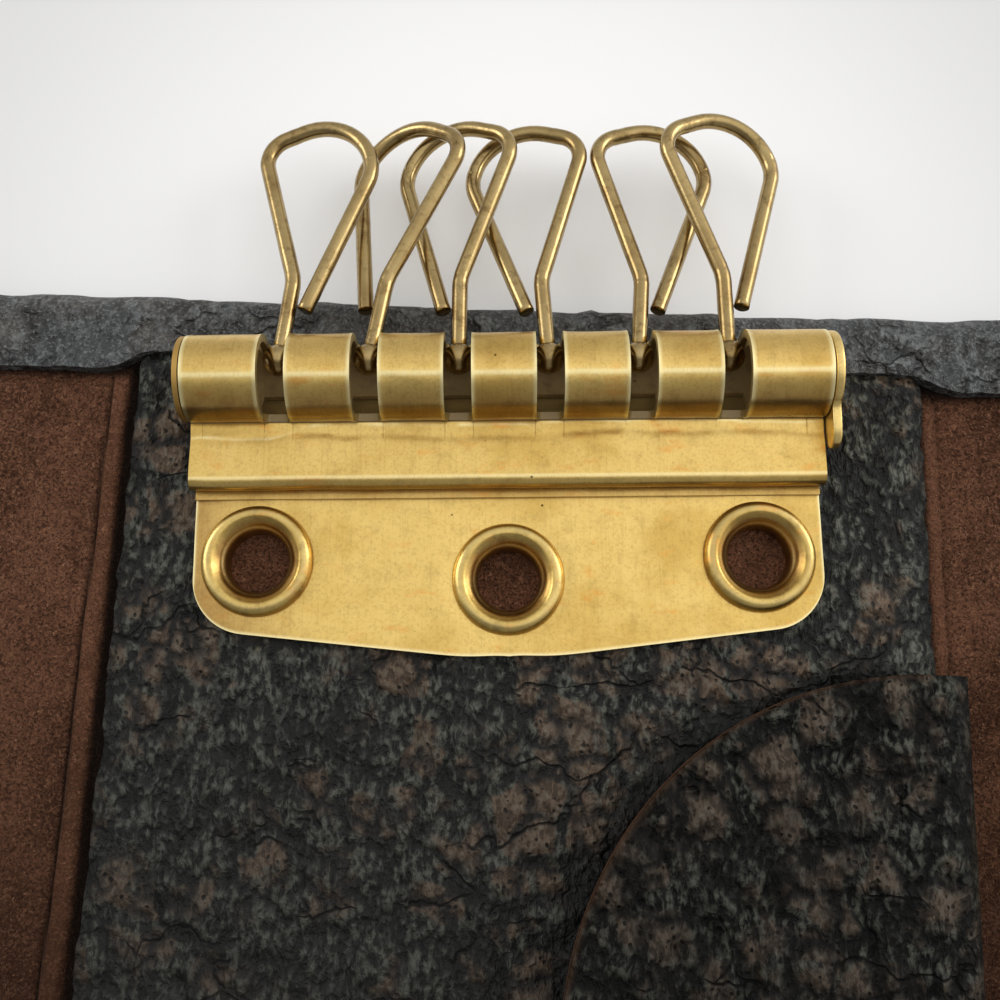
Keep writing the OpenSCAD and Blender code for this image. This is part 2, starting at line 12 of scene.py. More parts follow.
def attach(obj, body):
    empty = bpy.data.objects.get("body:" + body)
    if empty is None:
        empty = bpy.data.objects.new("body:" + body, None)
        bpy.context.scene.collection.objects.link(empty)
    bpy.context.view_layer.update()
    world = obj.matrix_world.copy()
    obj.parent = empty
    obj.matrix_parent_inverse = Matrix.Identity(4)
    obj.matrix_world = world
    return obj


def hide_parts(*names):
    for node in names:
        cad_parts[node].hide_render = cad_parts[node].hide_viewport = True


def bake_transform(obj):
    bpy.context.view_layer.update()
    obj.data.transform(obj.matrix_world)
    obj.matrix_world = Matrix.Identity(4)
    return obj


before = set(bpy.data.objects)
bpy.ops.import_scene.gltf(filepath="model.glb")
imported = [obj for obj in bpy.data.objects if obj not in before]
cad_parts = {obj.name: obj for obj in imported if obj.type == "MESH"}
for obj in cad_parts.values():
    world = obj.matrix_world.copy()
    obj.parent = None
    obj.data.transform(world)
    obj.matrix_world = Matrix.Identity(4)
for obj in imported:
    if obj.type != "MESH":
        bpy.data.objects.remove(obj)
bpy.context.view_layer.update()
MM = 0.001

# The case's sizes, as its solids have them: its edges, the heights of its layers and its hems
CASE_TOP, CASE_FOOT, CORNER_R = 21.3, 72.7, 6.0
LEATHER_T, BOARD_TOP, INSIDE_Z, TOP_Z = 1.2, 1.7, 2.4, 3.6
EDGE_R = TOP_Z / 2
FLAP_HEM, PANEL_HEM, EDGE_HEM = 6.7, 5.3, 3.6
PANEL_LEFT, PANEL_RIGHT, PANEL_TUCK = 30.3, 32.7, 3.0
SUEDE_INSET, BOARD_INSET = 1.9, 2.0
SNAP_Y, SNAP_REACH, SNAP_HOLE_R = -20.8, 7.9, 3.4
# The key guard: its arc, the fold along its right side, its wall and its foot
GUARD_R, GUARD_X, GUARD_Y = 26.2, 30.8, -34.3
GUARD_BEND_X, GUARD_BEND_R, GUARD_H = 31.7, 2.3, 4.6
GUARD_T, GUARD_BACK_T, GUARD_FOOT = 1.1, 0.6, 7.0
# The brass frame, from its own zero midway between the eyelets; angles round its barrel
FRAME_Z, FRAME_TURN, SHEET_T = 4.2, np.radians(2.4), 0.6
EYELETS = ((-19.404, 0.0), (0.0, -1.57), (19.404, 0.0))
BARREL_R, BORE_R, BARREL_Y, AXIS_Z, HALF_W = 3.4, 2.8, 13.84, 2.8, 24.5
SIDE_X, SIDE_DROP, POINT_DROP, FLANGE_R = 24.3, 5.2, 7.9, 4.35
LEDGE_Y, LEDGE_H, STRIP_Z, STRIP_EDGE, ROLL_R = (4.8, 6.6), 0.35, 2.0, 5.35, 0.85
SLOT_PITCH, SLOT_W, SLOT_BACK, SLOT_FRONT, STRIP_ANGLE = 6.99965, 2.1, -26.0, 191.1, 193.6
SLOTS = [-0.2 + SLOT_PITCH * (i - 2.5) for i in range(6)]
EYELET_ROLL_X, EYELET_ROLL_H, EYELET_TUBE_R = 3.6, 0.73, 2.75
WIRE_R, BALL_R, SEAT, SHANK, HOOK_L = 0.63, 1.25, 1.51, 8.5, 24.4
TAB_R, TAB_REACH, LEVER_GAP, LEVER_HALF_T = 1.3, 6.1, 0.12, 0.35


class Leaf:
    """Half of the case, from its middle to a flap's free edge, in distances from the middle: the
    fold's place and the height of its axis, the flap's width and lift, and where the bend runs."""

    def __init__(self, name, side, fold, width, axis_z, lift, bend):
        self.name, self.side, self.fold, self.reach = name, side, fold, fold + width
        self.axis_z, self.lift, self.bend = axis_z, np.radians(lift), bend

    def settle(self, x, z):
        """The leaf as it rests: a point turns about the fold's axis by the flap's lift, not at
        all before the bend's start, fully past its end, and by a smooth step between them."""
        turn = self.lift * step(x, *self.bend)
        dx, dz = x - self.fold, z - self.axis_z
        return (self.fold + dx * np.cos(turn) - dz * np.sin(turn),
                self.axis_z + dx * np.sin(turn) + dz * np.cos(turn))

    def place(self, x, y, z):
        """Distances from the middle, settled and put on the leaf's own side."""
        x, z = self.settle(x, z)
        return np.stack([self.side * x, y + 0 * x, z], -1)


LEFT = Leaf("left", -1, 33.5, 66.7, 7.7, 2.26877, (31.5, 46.0))
RIGHT = Leaf("right", 1, 34.2, 20.0, 9.6, 7.55674, (32.5, 36.7))
LEAVES = LEFT, RIGHT


# ---- Relief ----

def waves(x, y, size, seed):
    """Soft random relief of about -1 to 1: eight sine waves of nearly one length, in scattered
    directions, each pushed along by the wave before it."""
    dice = np.random.default_rng(seed)
    total = push = 0
    for _ in range(8):
        way = dice.uniform(0, 2 * np.pi)
        pace = 2 * np.pi / size * dice.uniform(0.7, 1.4)
        wave = np.sin(pace * (x * np.cos(way) + y * np.sin(way)) + dice.uniform(0, 6) + push)
        push = 1.2 * wave
        total = total + wave
    return total / 3.5


def scales(x, y, pitch, seed):
    """Squarish scales in rows: the distance of each point from the border of its scale, for
    centres scattered about a brick pattern, and a number of 0 to 1 for the scale itself."""
    def chance(row, column, turn):
        """A scattered number of 0 to 1 for each cell, from the far digits of a sine."""
        return np.abs(np.sin(row * 12.9898 + column * 78.233 + seed + turn) * 43758.5453) % 1

    row = np.floor(y / pitch)
    near = np.full(np.shape(x), 1e6)
    far, number = near.copy(), near.copy()
    for up in (-1, 0, 1):
        shift = 0.5 * ((row + up) % 2)
        column = np.floor(x / pitch - shift)
        for along in (-1, 0, 1):
            r, c = row + up, column + along
            cx = (c + shift + 0.5 + 0.5 * (chance(r, c, 1) - 0.5)) * pitch
            cy = (r + 0.5 + 0.5 * (chance(r, c, 2) - 0.5)) * pitch
            gap = (np.abs(x - cx) ** 3 + np.abs(y - cy) ** 3) ** (1 / 3)
            number = np.where(gap < near, chance(r, c, 3), number)
            far = np.minimum(far, np.maximum(gap, near))
            near = np.minimum(near, gap)
    return (far - near) / 2, number


def step(t, low, high):
    """Smooth step from 0 at low to 1 at high."""
    t = np.clip((t - low) / (high - low), 0, 1)
    return t * t * (3 - 2 * t)


def band(t, middle, width):
    """Bell curve: 1 at the middle, 0.37 at the width from it."""
    return np.exp(-((t - middle) / width) ** 2)


# ---- Mesh making ----

def grid(rows, columns):
    """Quads between neighbouring points of a grid, which are numbered row by row."""
    i = np.arange(rows * columns).reshape(rows, columns)
    return np.stack([i[:-1, :-1], i[1:, :-1], i[1:, 1:], i[:-1, 1:]], -1).reshape(-1, 4)


def spots(x, y, z):
    """Coordinates of a grid's points, as rows of three."""
    return np.stack(np.broadcast_arrays(x, y, z), -1).reshape(-1, 3)


def weld(quads, *layers):
    """Joins the points that lie on one another in the first layer, in every layer alike."""
    _, first, number = np.unique(np.round(layers[0], 3), axis=0, return_index=True,
                                 return_inverse=True)
    return (number.reshape(-1)[quads],) + tuple(layer[first] for layer in layers)


def closed_sheet(quads, outer, inner):
    """A sheet with a wall: the outer quads, the inner ones turned round, and a quad through the
    wall along each edge that has only one face."""
    count = len(outer)
    edges = np.concatenate([quads[:, [k, (k + 1) % 4]] for k in range(4)])
    edges = edges[edges[:, 0] != edges[:, 1]]
    _, first, times = np.unique(np.sort(edges, 1) @ np.array([count, 1]), return_index=True,
                                return_counts=True)
    a, b = edges[first[times == 1]].T
    wall = np.stack([b, a, a + count, b + count], 1)
    return np.concatenate([quads, quads[:, ::-1] + count, wall]), np.concatenate([outer, inner])


def make_piece(name, quads, points, finish, layers=None, crease=38):
    """A smooth-shaded object from points in millimetres; a quad with two equal corners becomes a
    triangle, and all faces are turned round where the enclosed volume comes out negative."""
    same = quads == np.roll(quads, -1, 1)
    whole = quads[same.sum(1) == 0]
    thin = same.sum(1) == 1
    corners = quads[thin][~same[thin]].reshape(-1, 3)
    volume = sum(
        (points[f[:, 0]] * np.cross(points[f[:, i]], points[f[:, i + 1]])).sum()
        for f in (whole, corners) for i in range(1, f.shape[1] - 1))
    if volume < 0:
        whole, corners = whole[:, ::-1], corners[:, ::-1]
    mesh = bpy.data.meshes.new(name)
    mesh.vertices.add(len(points))
    mesh.vertices.foreach_set("co", (points * MM).astype(np.float32).ravel())
    loops = np.concatenate([whole.ravel(), corners.ravel()]).astype(np.int32)
    starts = np.concatenate([np.arange(len(whole)) * 4, whole.size + np.arange(len(corners)) * 3])
    mesh.loops.add(len(loops))
    mesh.loops.foreach_set("vertex_index", loops)
    mesh.polygons.add(len(starts))
    mesh.polygons.foreach_set("loop_start", starts.astype(np.int32))
    mesh.polygons.foreach_set("use_smooth", np.ones(len(starts), bool))
    for layer, values in (layers or {}).items():
        mesh.attributes.new(layer, "FLOAT", "POINT").data.foreach_set(
            "value", np.asarray(values, np.float32).ravel())
    mesh.update(calc_edges=True)
    mesh.validate()
    mesh.set_sharp_from_angle(angle=np.radians(crease))
    mesh.materials.append(finish)
    piece = bpy.data.objects.new(name, mesh)
    bpy.context.scene.collection.objects.link(piece)
    return piece


# ---- Materials ----

def rgb(red, green, blue):
    """A colour given as on a screen, 0 to 255, as the linear values that a shader takes."""
    c = np.array([red, green, blue]) / 255
    return tuple(np.where(c <= 0.04045, c / 12.92, ((c + 0.055) / 1.055) ** 2.4)) + (1.0,)


class Socket:
    """An output of a node; arithmetic on it adds Math nodes to the same tree."""

    def __init__(self, finish, link):
        self.finish, self.link = finish, link

    def math(self, operation, *others, first=None):
        """A Math node on this output and others, or on a first value and this output."""
        values = ([] if first is None else [first]) + [self] + list(others)
        return self.finish.node("ShaderNodeMath", {"operation": operation},
                                dict(enumerate(values)))

    def __add__(self, other):
        return self.math("ADD", other)

    def __sub__(self, other):
        return self.math("SUBTRACT", other)

    def __rsub__(self, other):
        return self.math("SUBTRACT", first=other)

    def __mul__(self, other):
        return self.math("MULTIPLY", other)

    __radd__, __rmul__ = __add__, __mul__

    def ramp(self, low, high, start=0.0, end=1.0):
        """Smooth step between two levels, spread from start to end."""
        return self.finish.node("ShaderNodeMapRange", {"interpolation_type": "SMOOTHSTEP"}, {
            "Value": self, "From Min": low, "From Max": high, "To Min": start, "To Max": end})

    def fall(self, low, high):
        """Smooth step down from 1 to 0."""
        return self.ramp(low, high, 1.0, 0.0)


class Nodes:
    """A node tree under construction."""

    def __init__(self, tree):
        self.tree = tree

    def node(self, kind, settings, values, out=0):
        """Adds a node: its settings first, a ramp's stops among them, then its sockets' values
        or links; gives back the output that is asked for."""
        node = self.tree.nodes.new(kind)
        for key, value in settings.items():
            if key == "stops":
                ramp = node.color_ramp.elements
                while len(ramp) < len(value):
                    ramp.new(0.5)
                for element, (position, colour) in zip(ramp, value):
                    element.position, element.color = position, colour
            else:
                setattr(node, key, value)
        for key, value in values.items():
            socket = node.inputs[key] if isinstance(key, int) else next(
                s for s in node.inputs if key in (s.identifier, s.name) and s.enabled)
            if isinstance(value, Socket):
                self.tree.links.new(value.link, socket)
            else:
                socket.default_value = value
        found = node.outputs[out] if isinstance(out, int) else next(
            s for s in node.outputs if out in (s.identifier, s.name) and s.enabled)
        return Socket(self, found)

    def axis(self, vector, name):
        """One coordinate, X, Y or Z, of a vector."""
        return self.node("ShaderNodeSeparateXYZ", {}, {0: vector}, name)


class Finish(Nodes):
    """A material round one Principled shader, whose constants are set on its own sockets; its
    tone starts as one colour and is painted over step by step."""

    def __init__(self, name, tone, **constants):
        self.material = bpy.data.materials.new(name)
        self.material.use_nodes = True
        super().__init__(self.material.node_tree)
        self.shader = self.tree.nodes["Principled BSDF"]
        for key, value in constants.items():
            self.shader.inputs[key.replace("_", " ")].default_value = value
        place = self.node("ShaderNodeTexCoord", {}, {}, "Object")
        self.mm = self.stretch(place, 1000, 1000, 1000)
        self.tone = rgb(*tone)

    def stretch(self, vector, x, y, z):
        """A place multiplied along each axis, which shortens patterns on it."""
        return self.node("ShaderNodeVectorMath", {"operation": "MULTIPLY"},
                         {0: vector, 1: (x, y, z)})

    def turned(self, vector, angle):
        """A place turned about the vertical."""
        return self.node("ShaderNodeMapping", {}, {"Vector": vector, "Rotation": (0, 0, angle)})

    def noise(self, size, detail=3.0, roughness=0.55, distortion=0.0, at=None):
        """Cloudy noise of 0 to 1 with features of about the given size in millimetres."""
        return self.node("ShaderNodeTexNoise", {}, {
            "Vector": at or self.mm, "Scale": 1 / size, "Detail": detail,
            "Roughness": roughness, "Distortion": distortion})

    def cells(self, size, feature="F1", at=None):
        """Distance within scattered cells of about the given size in millimetres."""
        return self.node("ShaderNodeTexVoronoi", {"feature": feature},
                         {"Vector": at or self.mm, "Scale": 1 / size}, "Distance")

    def bent(self, size, amount):
        """The place in millimetres, pushed about by noise so that patterns on it meander."""
        push = self.node("ShaderNodeTexNoise", {}, {"Vector": self.mm, "Scale": 1 / size,
                                                    "Detail": 2.0}, "Color")
        return self.node("ShaderNodeVectorMath", {"operation": "MULTIPLY_ADD"},
                         {0: push, 1: (amount,) * 3, 2: self.mm})

    def layer(self, name):
        """A value that the mesh carries at each point."""
        return self.node("ShaderNodeAttribute", {"attribute_name": name}, {}, "Fac")

    def paint(self, share, *colour):
        """Lays a colour, 0 to 255 for red, green and blue, over the tone by the given share."""
        self.tone = self.node("ShaderNodeMix", {"data_type": "RGBA"}, {
            "Factor_Float": share, "A_Color": self.tone, "B_Color": rgb(*colour)},
            "Result_Color")

    def feed(self, name, value):
        """Links a value that varies over the surface to the shader."""
        self.tree.links.new(value.link, self.shader.inputs[name])

    def relief(self, height, depth):
        """Feeds the tone, and relief of the given depth in millimetres; gives the material."""
        self.feed("Base Color", self.tone)
        self.feed("Normal", self.node("ShaderNodeBump", {}, {
            "Height": height, "Distance": depth * MM}, "Normal"))
        return self.material


def leather_finish(name, dark, worn, ridge_highlight, contrast, lump, depth, shine, rubbed, spread):
    """Old grained leather: fine strokes, longer along Y, with painted highlights on their crests
    and painted shade between them; brown worn patches of about the given spread with open pores,
    more of them for a lower rubbed level; lumps with painted shade round their borders and in the
    furrows between them, a net of long creases with painted shade along them, painted shade
    towards the foot and painted shade where the shade layer is set."""
    f = Finish(name, dark, Specular_IOR_Level=shine)
    grains = f.cells(0.62, "F1", f.stretch(f.bent(0.5, 0.45), 1.0, 0.7, 0.8))
    fibres = f.noise(0.40, 3.0, 0.62, 0.3, at=f.stretch(f.bent(2.6, 1.3), 1.0, 0.40, 0.6))
    strokes = 0.8 * fibres + 0.2 * grains.fall(0.05, 0.75)
    lit_ridges, gap_shade = strokes.ramp(0.43, 0.63), strokes.fall(0.37, 0.48)
    tile, cloud = f.layer("tile"), f.noise(spread, 4.0, 0.62)
    patch = (0.28 * tile + cloud).ramp(rubbed, rubbed + 0.14)
    pores = f.cells(0.72, "F1", f.bent(0.9, 0.6)).fall(0.14, 0.27)
    block = f.cells(lump, "DISTANCE_TO_EDGE", f.bent(1.7, 2.1))
    furrow_shade = block.fall(0.0, 0.20) * f.noise(4.0, 2.0).ramp(0.36, 0.50)
    net = f.cells(8.5, "DISTANCE_TO_EDGE", f.stretch(f.bent(2.6, 3.4), 0.8, 1.3, 1.0))
    crease = net.fall(0.0, 0.022) * f.noise(6.0, 1.0).ramp(0.48, 0.57)
    foot = (0.35 * f.axis(f.mm, "X") + f.axis(f.mm, "Y")).ramp(-62, 18, 0.80, 0.0)
    f.paint(f.noise(1.4, 3.0).ramp(0.35, 0.65), 52, 53, 47)
    f.paint(patch * 0.8, *worn)
    f.paint((1 - tile).ramp(0.55, 1.0) * 0.6, 14, 15, 13)
    # Painted shade round each lump's border, as strong as the depth, standing in for shading from
    # its relief
    f.paint((1 - block.ramp(0.0, 0.26)) * depth, 11, 11, 10)
    # Painted shade between the strokes, and painted highlights on their crests
    f.paint(gap_shade * (0.9 - 0.35 * patch), 8, 8, 7)
    f.paint(lit_ridges * (contrast - 0.25 * patch), *ridge_highlight)
    f.paint(pores * (0.25 + 0.65 * patch), 7, 6, 5)
    # Painted shade in the furrows between lumps and along the long creases
    f.paint(furrow_shade * 0.92, 5, 5, 5)
    f.paint(crease * 0.92, 4, 4, 4)
    f.paint(foot, 6, 6, 5)
    f.paint(f.layer("raw") * 0.7, 66, 48, 33)
    f.paint(f.layer("shade") * 0.9, 5, 5, 4)
    f.feed("Roughness", 0.58 - 0.14 * lit_ridges + 0.12 * cloud)
    return f.relief(strokes * (2.4 - 0.6 * patch) + block.ramp(0.0, 0.4) * (1.0 + 1.6 * depth)
                    - 1.2 * crease - 0.5 * pores, 0.28)


def hem_finish(name):
    """Bare outer leather: matt lumps, longer across the hem, with painted shade between them,
    painted highlights and painted shade on the crumpled relief, a fine grain, a net of thin
    creases with painted shade along them and a browner cast here and there."""
    f = Finish(name, (68, 70, 71), Specular_IOR_Level=0.42)
    lumps = f.cells(1.5, "F1", f.stretch(f.bent(1.3, 1.3), 1.0, 0.6, 0.8)).fall(0.15, 0.75)
    rough = f.noise(5.0, 2.0).ramp(0.38, 0.58, 0.35, 1.0)
    crumple = f.noise(0.75, 3.0, 0.64, 0.3, at=f.stretch(f.bent(1.5, 0.9), 1.0, 0.7, 0.8))
    fine = f.noise(0.28, 3.0, 0.65)
    fold = f.cells(4.2, "DISTANCE_TO_EDGE", f.stretch(f.bent(2.0, 2.4), 0.5, 1.1, 1.0))
    line = fold.fall(0.0, 0.035) * f.noise(5.0, 1.0).ramp(0.48, 0.58)
    f.paint(f.noise(7.0, 3.0).ramp(0.4, 0.6), 76, 72, 67)
    # Painted highlights on the crumpled relief, and painted shade in its hollows and round the
    # lumps
    f.paint(crumple.ramp(0.48, 0.62) * rough * 0.8, 122, 127, 127)
    f.paint(crumple.fall(0.36, 0.49) * rough * 0.85, 15, 15, 15)
    f.paint((1 - lumps) * rough * 0.55, 14, 14, 14)
    f.paint(fine.ramp(0.53, 0.65) * 0.45, 140, 142, 140)
    f.paint(fine.fall(0.36, 0.48) * 0.45, 22, 22, 22)
    # Painted shade along the thin creases
    f.paint(line * 0.8, 10, 10, 10)
    f.feed("Roughness", 0.48 + 0.16 * fine - 0.16 * crumple)
    return f.relief(lumps * rough * 1.4 + crumple * 2.2 + 0.7 * fine - 0.9 * line, 0.30)


def suede_finish(name, colour, light, dark):
    """Napped suede: short curled fibres, patches brushed one way or the other, soft sheen, painted
    shade towards the foot, and painted shadow where the gap layer is set."""
    f = Finish(name, dark, Roughness=0.95, Specular_IOR_Level=0.08, Sheen_Weight=0.14,
               Sheen_Roughness=0.5, Sheen_Tint=rgb(196, 150, 122))
    curls, grit = f.noise(0.55, 3.0, 0.7, 2.0), f.noise(0.22, 2.0, 0.6)
    hairs = f.cells(0.6, "DISTANCE_TO_EDGE", f.bent(0.7, 1.3))
    strand = hairs.fall(0.0, 0.075) * curls.ramp(0.45, 0.6)
    f.paint(f.noise(10.0, 4.0, 0.65).ramp(0.36, 0.64), *colour)
    f.paint(curls.ramp(0.45, 0.66) * 0.6, *light)
    f.paint(grit.fall(0.36, 0.54) * 0.75, 36, 20, 13)
    f.paint(curls.fall(0.30, 0.44) * 0.6, 40, 23, 15)
    f.paint(strand * 0.65, 170, 124, 94)
    f.paint(f.layer("pressed") * 0.18, 132, 90, 66)
    # Painted shade, darker towards the foot
    f.paint(f.axis(f.mm, "Y").ramp(-52, 12, 0.76, 0.0), 28, 15, 8)
    # Painted shadow beside the panel and below the hem, and painted shade along the pressed
    # crease, from the gap layer
    f.paint(f.layer("gap"), 14, 8, 6)
    return f.relief(curls + 0.5 * grit + 0.5 * strand, 0.16)


def brass_finish(name, colour, stain, rough, brushing, tarnish, layered=False, liner=False):
    """Handled brass: fine brushing along Y, a sandy worn grain, faint scratches, stains, dull
    clouds and specks. Layered pieces are pale with painted highlights and rubbed edges, brown with
    painted shade and reflections and some patina, nicked below the slots' edges and dull on their
    hidden inner sides; other pieces are pale at the barrel's ends, and a liner is dull between
    them."""
    f = Finish(name, colour, Metallic=1.0)
    own = f.turned(f.mm, -FRAME_TURN)
    lines = f.noise(0.16, 4.0, 0.7, at=f.stretch(own, 1.0, 0.03, 0.03))
    cloud, sand, patina = f.noise(7.0, 4.0, 0.6), f.noise(0.24, 3.0, 0.7), f.noise(1.3, 4.0, 0.7)
    dots = f.cells(2.3).fall(0.025, 0.06) * f.noise(3.0, 1.0).ramp(0.42, 0.5)
    height = lines * brushing * 3 + sand * 0.7 + patina * 0.4
    f.paint(cloud.ramp(0.42, 0.7) * 0.75, *stain)
    f.paint(patina.ramp(0.48, 0.72) * tarnish, 88, 62, 28)
    f.paint(sand.ramp(0.46, 0.7) * 0.30, 160, 122, 58)
    f.paint(lines.ramp(0.5, 0.75) * brushing * 1.6, 150, 116, 56)
    x = f.axis(own, "X")
    if layered:
        y = f.axis(own, "Y")
        smear = f.noise(1.1, 4.0, 0.65, at=f.stretch(own, 0.3, 0.7, 0.5))
        inner = f.layer("inside")
        f.paint(smear.ramp(0.56, 0.72) * 0.5, 224, 152, 66)
        # Painted shade and reflections, with some patina, where the brown layer is set
        f.paint(f.layer("brown") * (0.55 + 0.35 * lines) * (0.6 + 0.6 * patina), 128, 86, 52)
        # Painted highlights, with rubbed edges, in a pale tone
        f.paint((f.layer("wear") * (0.5 + 0.8 * lines)).ramp(0.0, 1.0), 255, 240, 182)
        f.paint(inner * (0.8 + 0.2 * patina), 132, 110, 68)
        f.feed("Metallic", 1 - 0.85 * inner)
        away = (x - SLOTS[0]).math("PINGPONG", SLOT_PITCH / 2)
        wander = 0.1 * f.noise(3.0, 0.0) - SLOT_W / 2 - 0.11
        nick = (away + wander).math("ABSOLUTE").fall(0.02, 0.07)
        nick = nick * y.ramp(8.9, 9.6) * y.fall(10.5, 10.6) * cloud.ramp(0.4, 0.5)
        f.paint(nick * 0.4, 110, 80, 34)
        height = height - 1.5 * nick
    else:
        ends = HALF_W - 0.5, HALF_W - 0.2
        f.paint(x.math("ABSOLUTE").ramp(*ends), 186, 150, 84)
        if liner:
            f.feed("Metallic", x.math("ABSOLUTE").ramp(*ends, 0.3, 1.0))
    f.paint(dots * 0.8, 52, 36, 18)
    f.feed("Roughness", rough + 0.12 * (cloud - 0.5) + brushing * (lines - 0.5) + 0.25 * dots)
    return f.relief(height, 0.010)


def board_finish(name):
    """Grey-brown filler board, a little mottled."""
    f = Finish(name, (176, 160, 128), Roughness=0.9)
    f.paint(f.noise(0.8, 4.0), 150, 134, 104)
    return f.relief(f.noise(0.3, 3.0), 0.05)


panel_leather = leather_finish("grained_leather", (66, 67, 60), (112, 90, 71),
                               (120, 122, 111), 0.52, 3.4, 0.40, 0.28, 0.61, 6.0)
guard_leather = leather_finish("guard_leather", (52, 53, 50), (98, 83, 70),
                               (112, 112, 102), 0.54, 3.6, 0.7, 0.12, 0.56, 4.4)
outer_leather = hem_finish("outer_leather")
suede = suede_finish("brown_suede", (106, 71, 53), (136, 94, 71), (68, 43, 30))
frame_brass = brass_finish("frame_brass", (232, 199, 119), (206, 168, 86), 0.30, 0.12, 0.16,
                           layered=True)
eyelet_brass = brass_finish("eyelet_brass", (214, 184, 108), (176, 144, 76), 0.32, 0.04, 0.4,
                            layered=True)
hook_brass = brass_finish("hook_brass", (172, 150, 104), (140, 116, 74), 0.24, 0.03, 0.6)
tube_brass = brass_finish("tube_brass", (184, 158, 108), (140, 120, 78), 0.5, 0.05, 0.4,
                          liner=True)
snap_brass = brass_finish("snap_brass", (214, 178, 100), (184, 142, 72), 0.24, 0.04, 0.3)
board = board_finish("filler_board")


# ---- Leaves of the case ----

INNER = 8.5  # inset of a border's innermost row, inside every hem
SPACING = 0.62  # of the points along a leaf


def lines_of(leaf, spacing):
    """Shares of the way along a leaf, closer together where it folds, and shares of its width."""
    long = leaf.reach - CORNER_R
    run = np.concatenate([np.arange(0, 28, spacing), np.arange(28, 38, 0.4 * spacing),
                          np.arange(38, long, spacing), [long]]) / long
    frees = int((CASE_TOP + CASE_FOOT - 2 * CORNER_R) / spacing)
    return run, np.linspace(0, 1, frees)[1:-1]


def along_leaf(leaf, run, end):
    """Places along a long edge: the same in every row until past the fold, then drawn in or out
    by a smooth step so that the last one falls on end."""
    long = leaf.reach - CORNER_R
    return run * long + (end - long) * step(run * long, leaf.bend[1] + 1.5, long)


def leaf_border(leaf, inset, spacing=SPACING):
    """Points round a leaf, in rows of one inset each: along the far edge, round a corner, along
    the free edge, round a corner and back along the hook edge. inset(x, share) takes each
    column's distance from the middle and how far it is turned to the free edge, 0 to 1, and
    gives a column of insets; the innermost row has square corners."""
    run, free = lines_of(leaf, spacing)
    turn = np.linspace(0, np.pi / 2, 15)[1:]
    back = turn - turn[0]
    straight = run * (leaf.reach - CORNER_R)
    round_free = leaf.reach + 0 * np.concatenate([turn, free, turn])
    share = np.concatenate([0 * run, turn / turn[-1], 1 + 0 * free, 1 - turn / turn[-1],
                            0 * run])
    d = inset(np.concatenate([straight, round_free, straight[::-1]]), share)
    edge, low, high = leaf.reach - d, d - CASE_FOOT, CASE_TOP - d
    r = np.where(d > INNER - 0.01, 0, np.maximum(CORNER_R - d, EDGE_R))
    cut = np.cumsum([len(run), len(turn), len(free), len(turn)])
    edges, lows, highs, rs = (np.split(v, cut, axis=1) for v in (edge, low, high, r))
    x, y = (np.concatenate(parts, 1) for parts in zip(
        (along_leaf(leaf, run, edges[0] - rs[0]), lows[0]),
        (edges[1] - rs[1] + rs[1] * np.sin(turn), lows[1] + rs[1] - rs[1] * np.cos(turn)),
        (edges[2], lows[2] + rs[2] + free * (highs[2] - lows[2] - 2 * rs[2])),
        (edges[3] - rs[3] + rs[3] * np.cos(back), highs[3] - rs[3] + rs[3] * np.sin(back)),
        (along_leaf(leaf, run[::-1], edges[4] - rs[4]), highs[4])))
    return x, y


def filled(leaf, x, y, z, level, spacing=SPACING):
    """A border's points, followed by a plain grid inside its innermost row at that row's height;
    gives x, y, z, each point's row number and the quads of both parts."""
    run, free = lines_of(leaf, spacing)
    share = np.concatenate([[1], free[::-1], [0]])
    fx, fy = np.meshgrid(along_leaf(leaf, run, leaf.reach - INNER),
                         INNER - CASE_FOOT + share * (CASE_TOP + CASE_FOOT - 2 * INNER))
    z, level = (np.broadcast_to(v, x.shape) for v in (z, level))
    parts = ((x, fx), (y, fy), (z, z[0, 0] + 0 * fx), (level, 0 * fx))
    return [np.concatenate([a.ravel(), b.ravel()]) for a, b in parts] + [
        np.concatenate([grid(*x.shape), grid(*fx.shape) + x.size])]


def hem_width(leaf, x, share):
    """How far the turned hem reaches in: less over the panel, and along the free edge."""
    panel = PANEL_LEFT if leaf.side < 0 else PANEL_RIGHT
    long_edge = PANEL_HEM + (FLAP_HEM - PANEL_HEM) * step(x, panel - 1.0, panel + 3.0)
    return long_edge * (1 - share) + EDGE_HEM * share + 0.12 * waves(x, 40 * share, 7.0, 3)


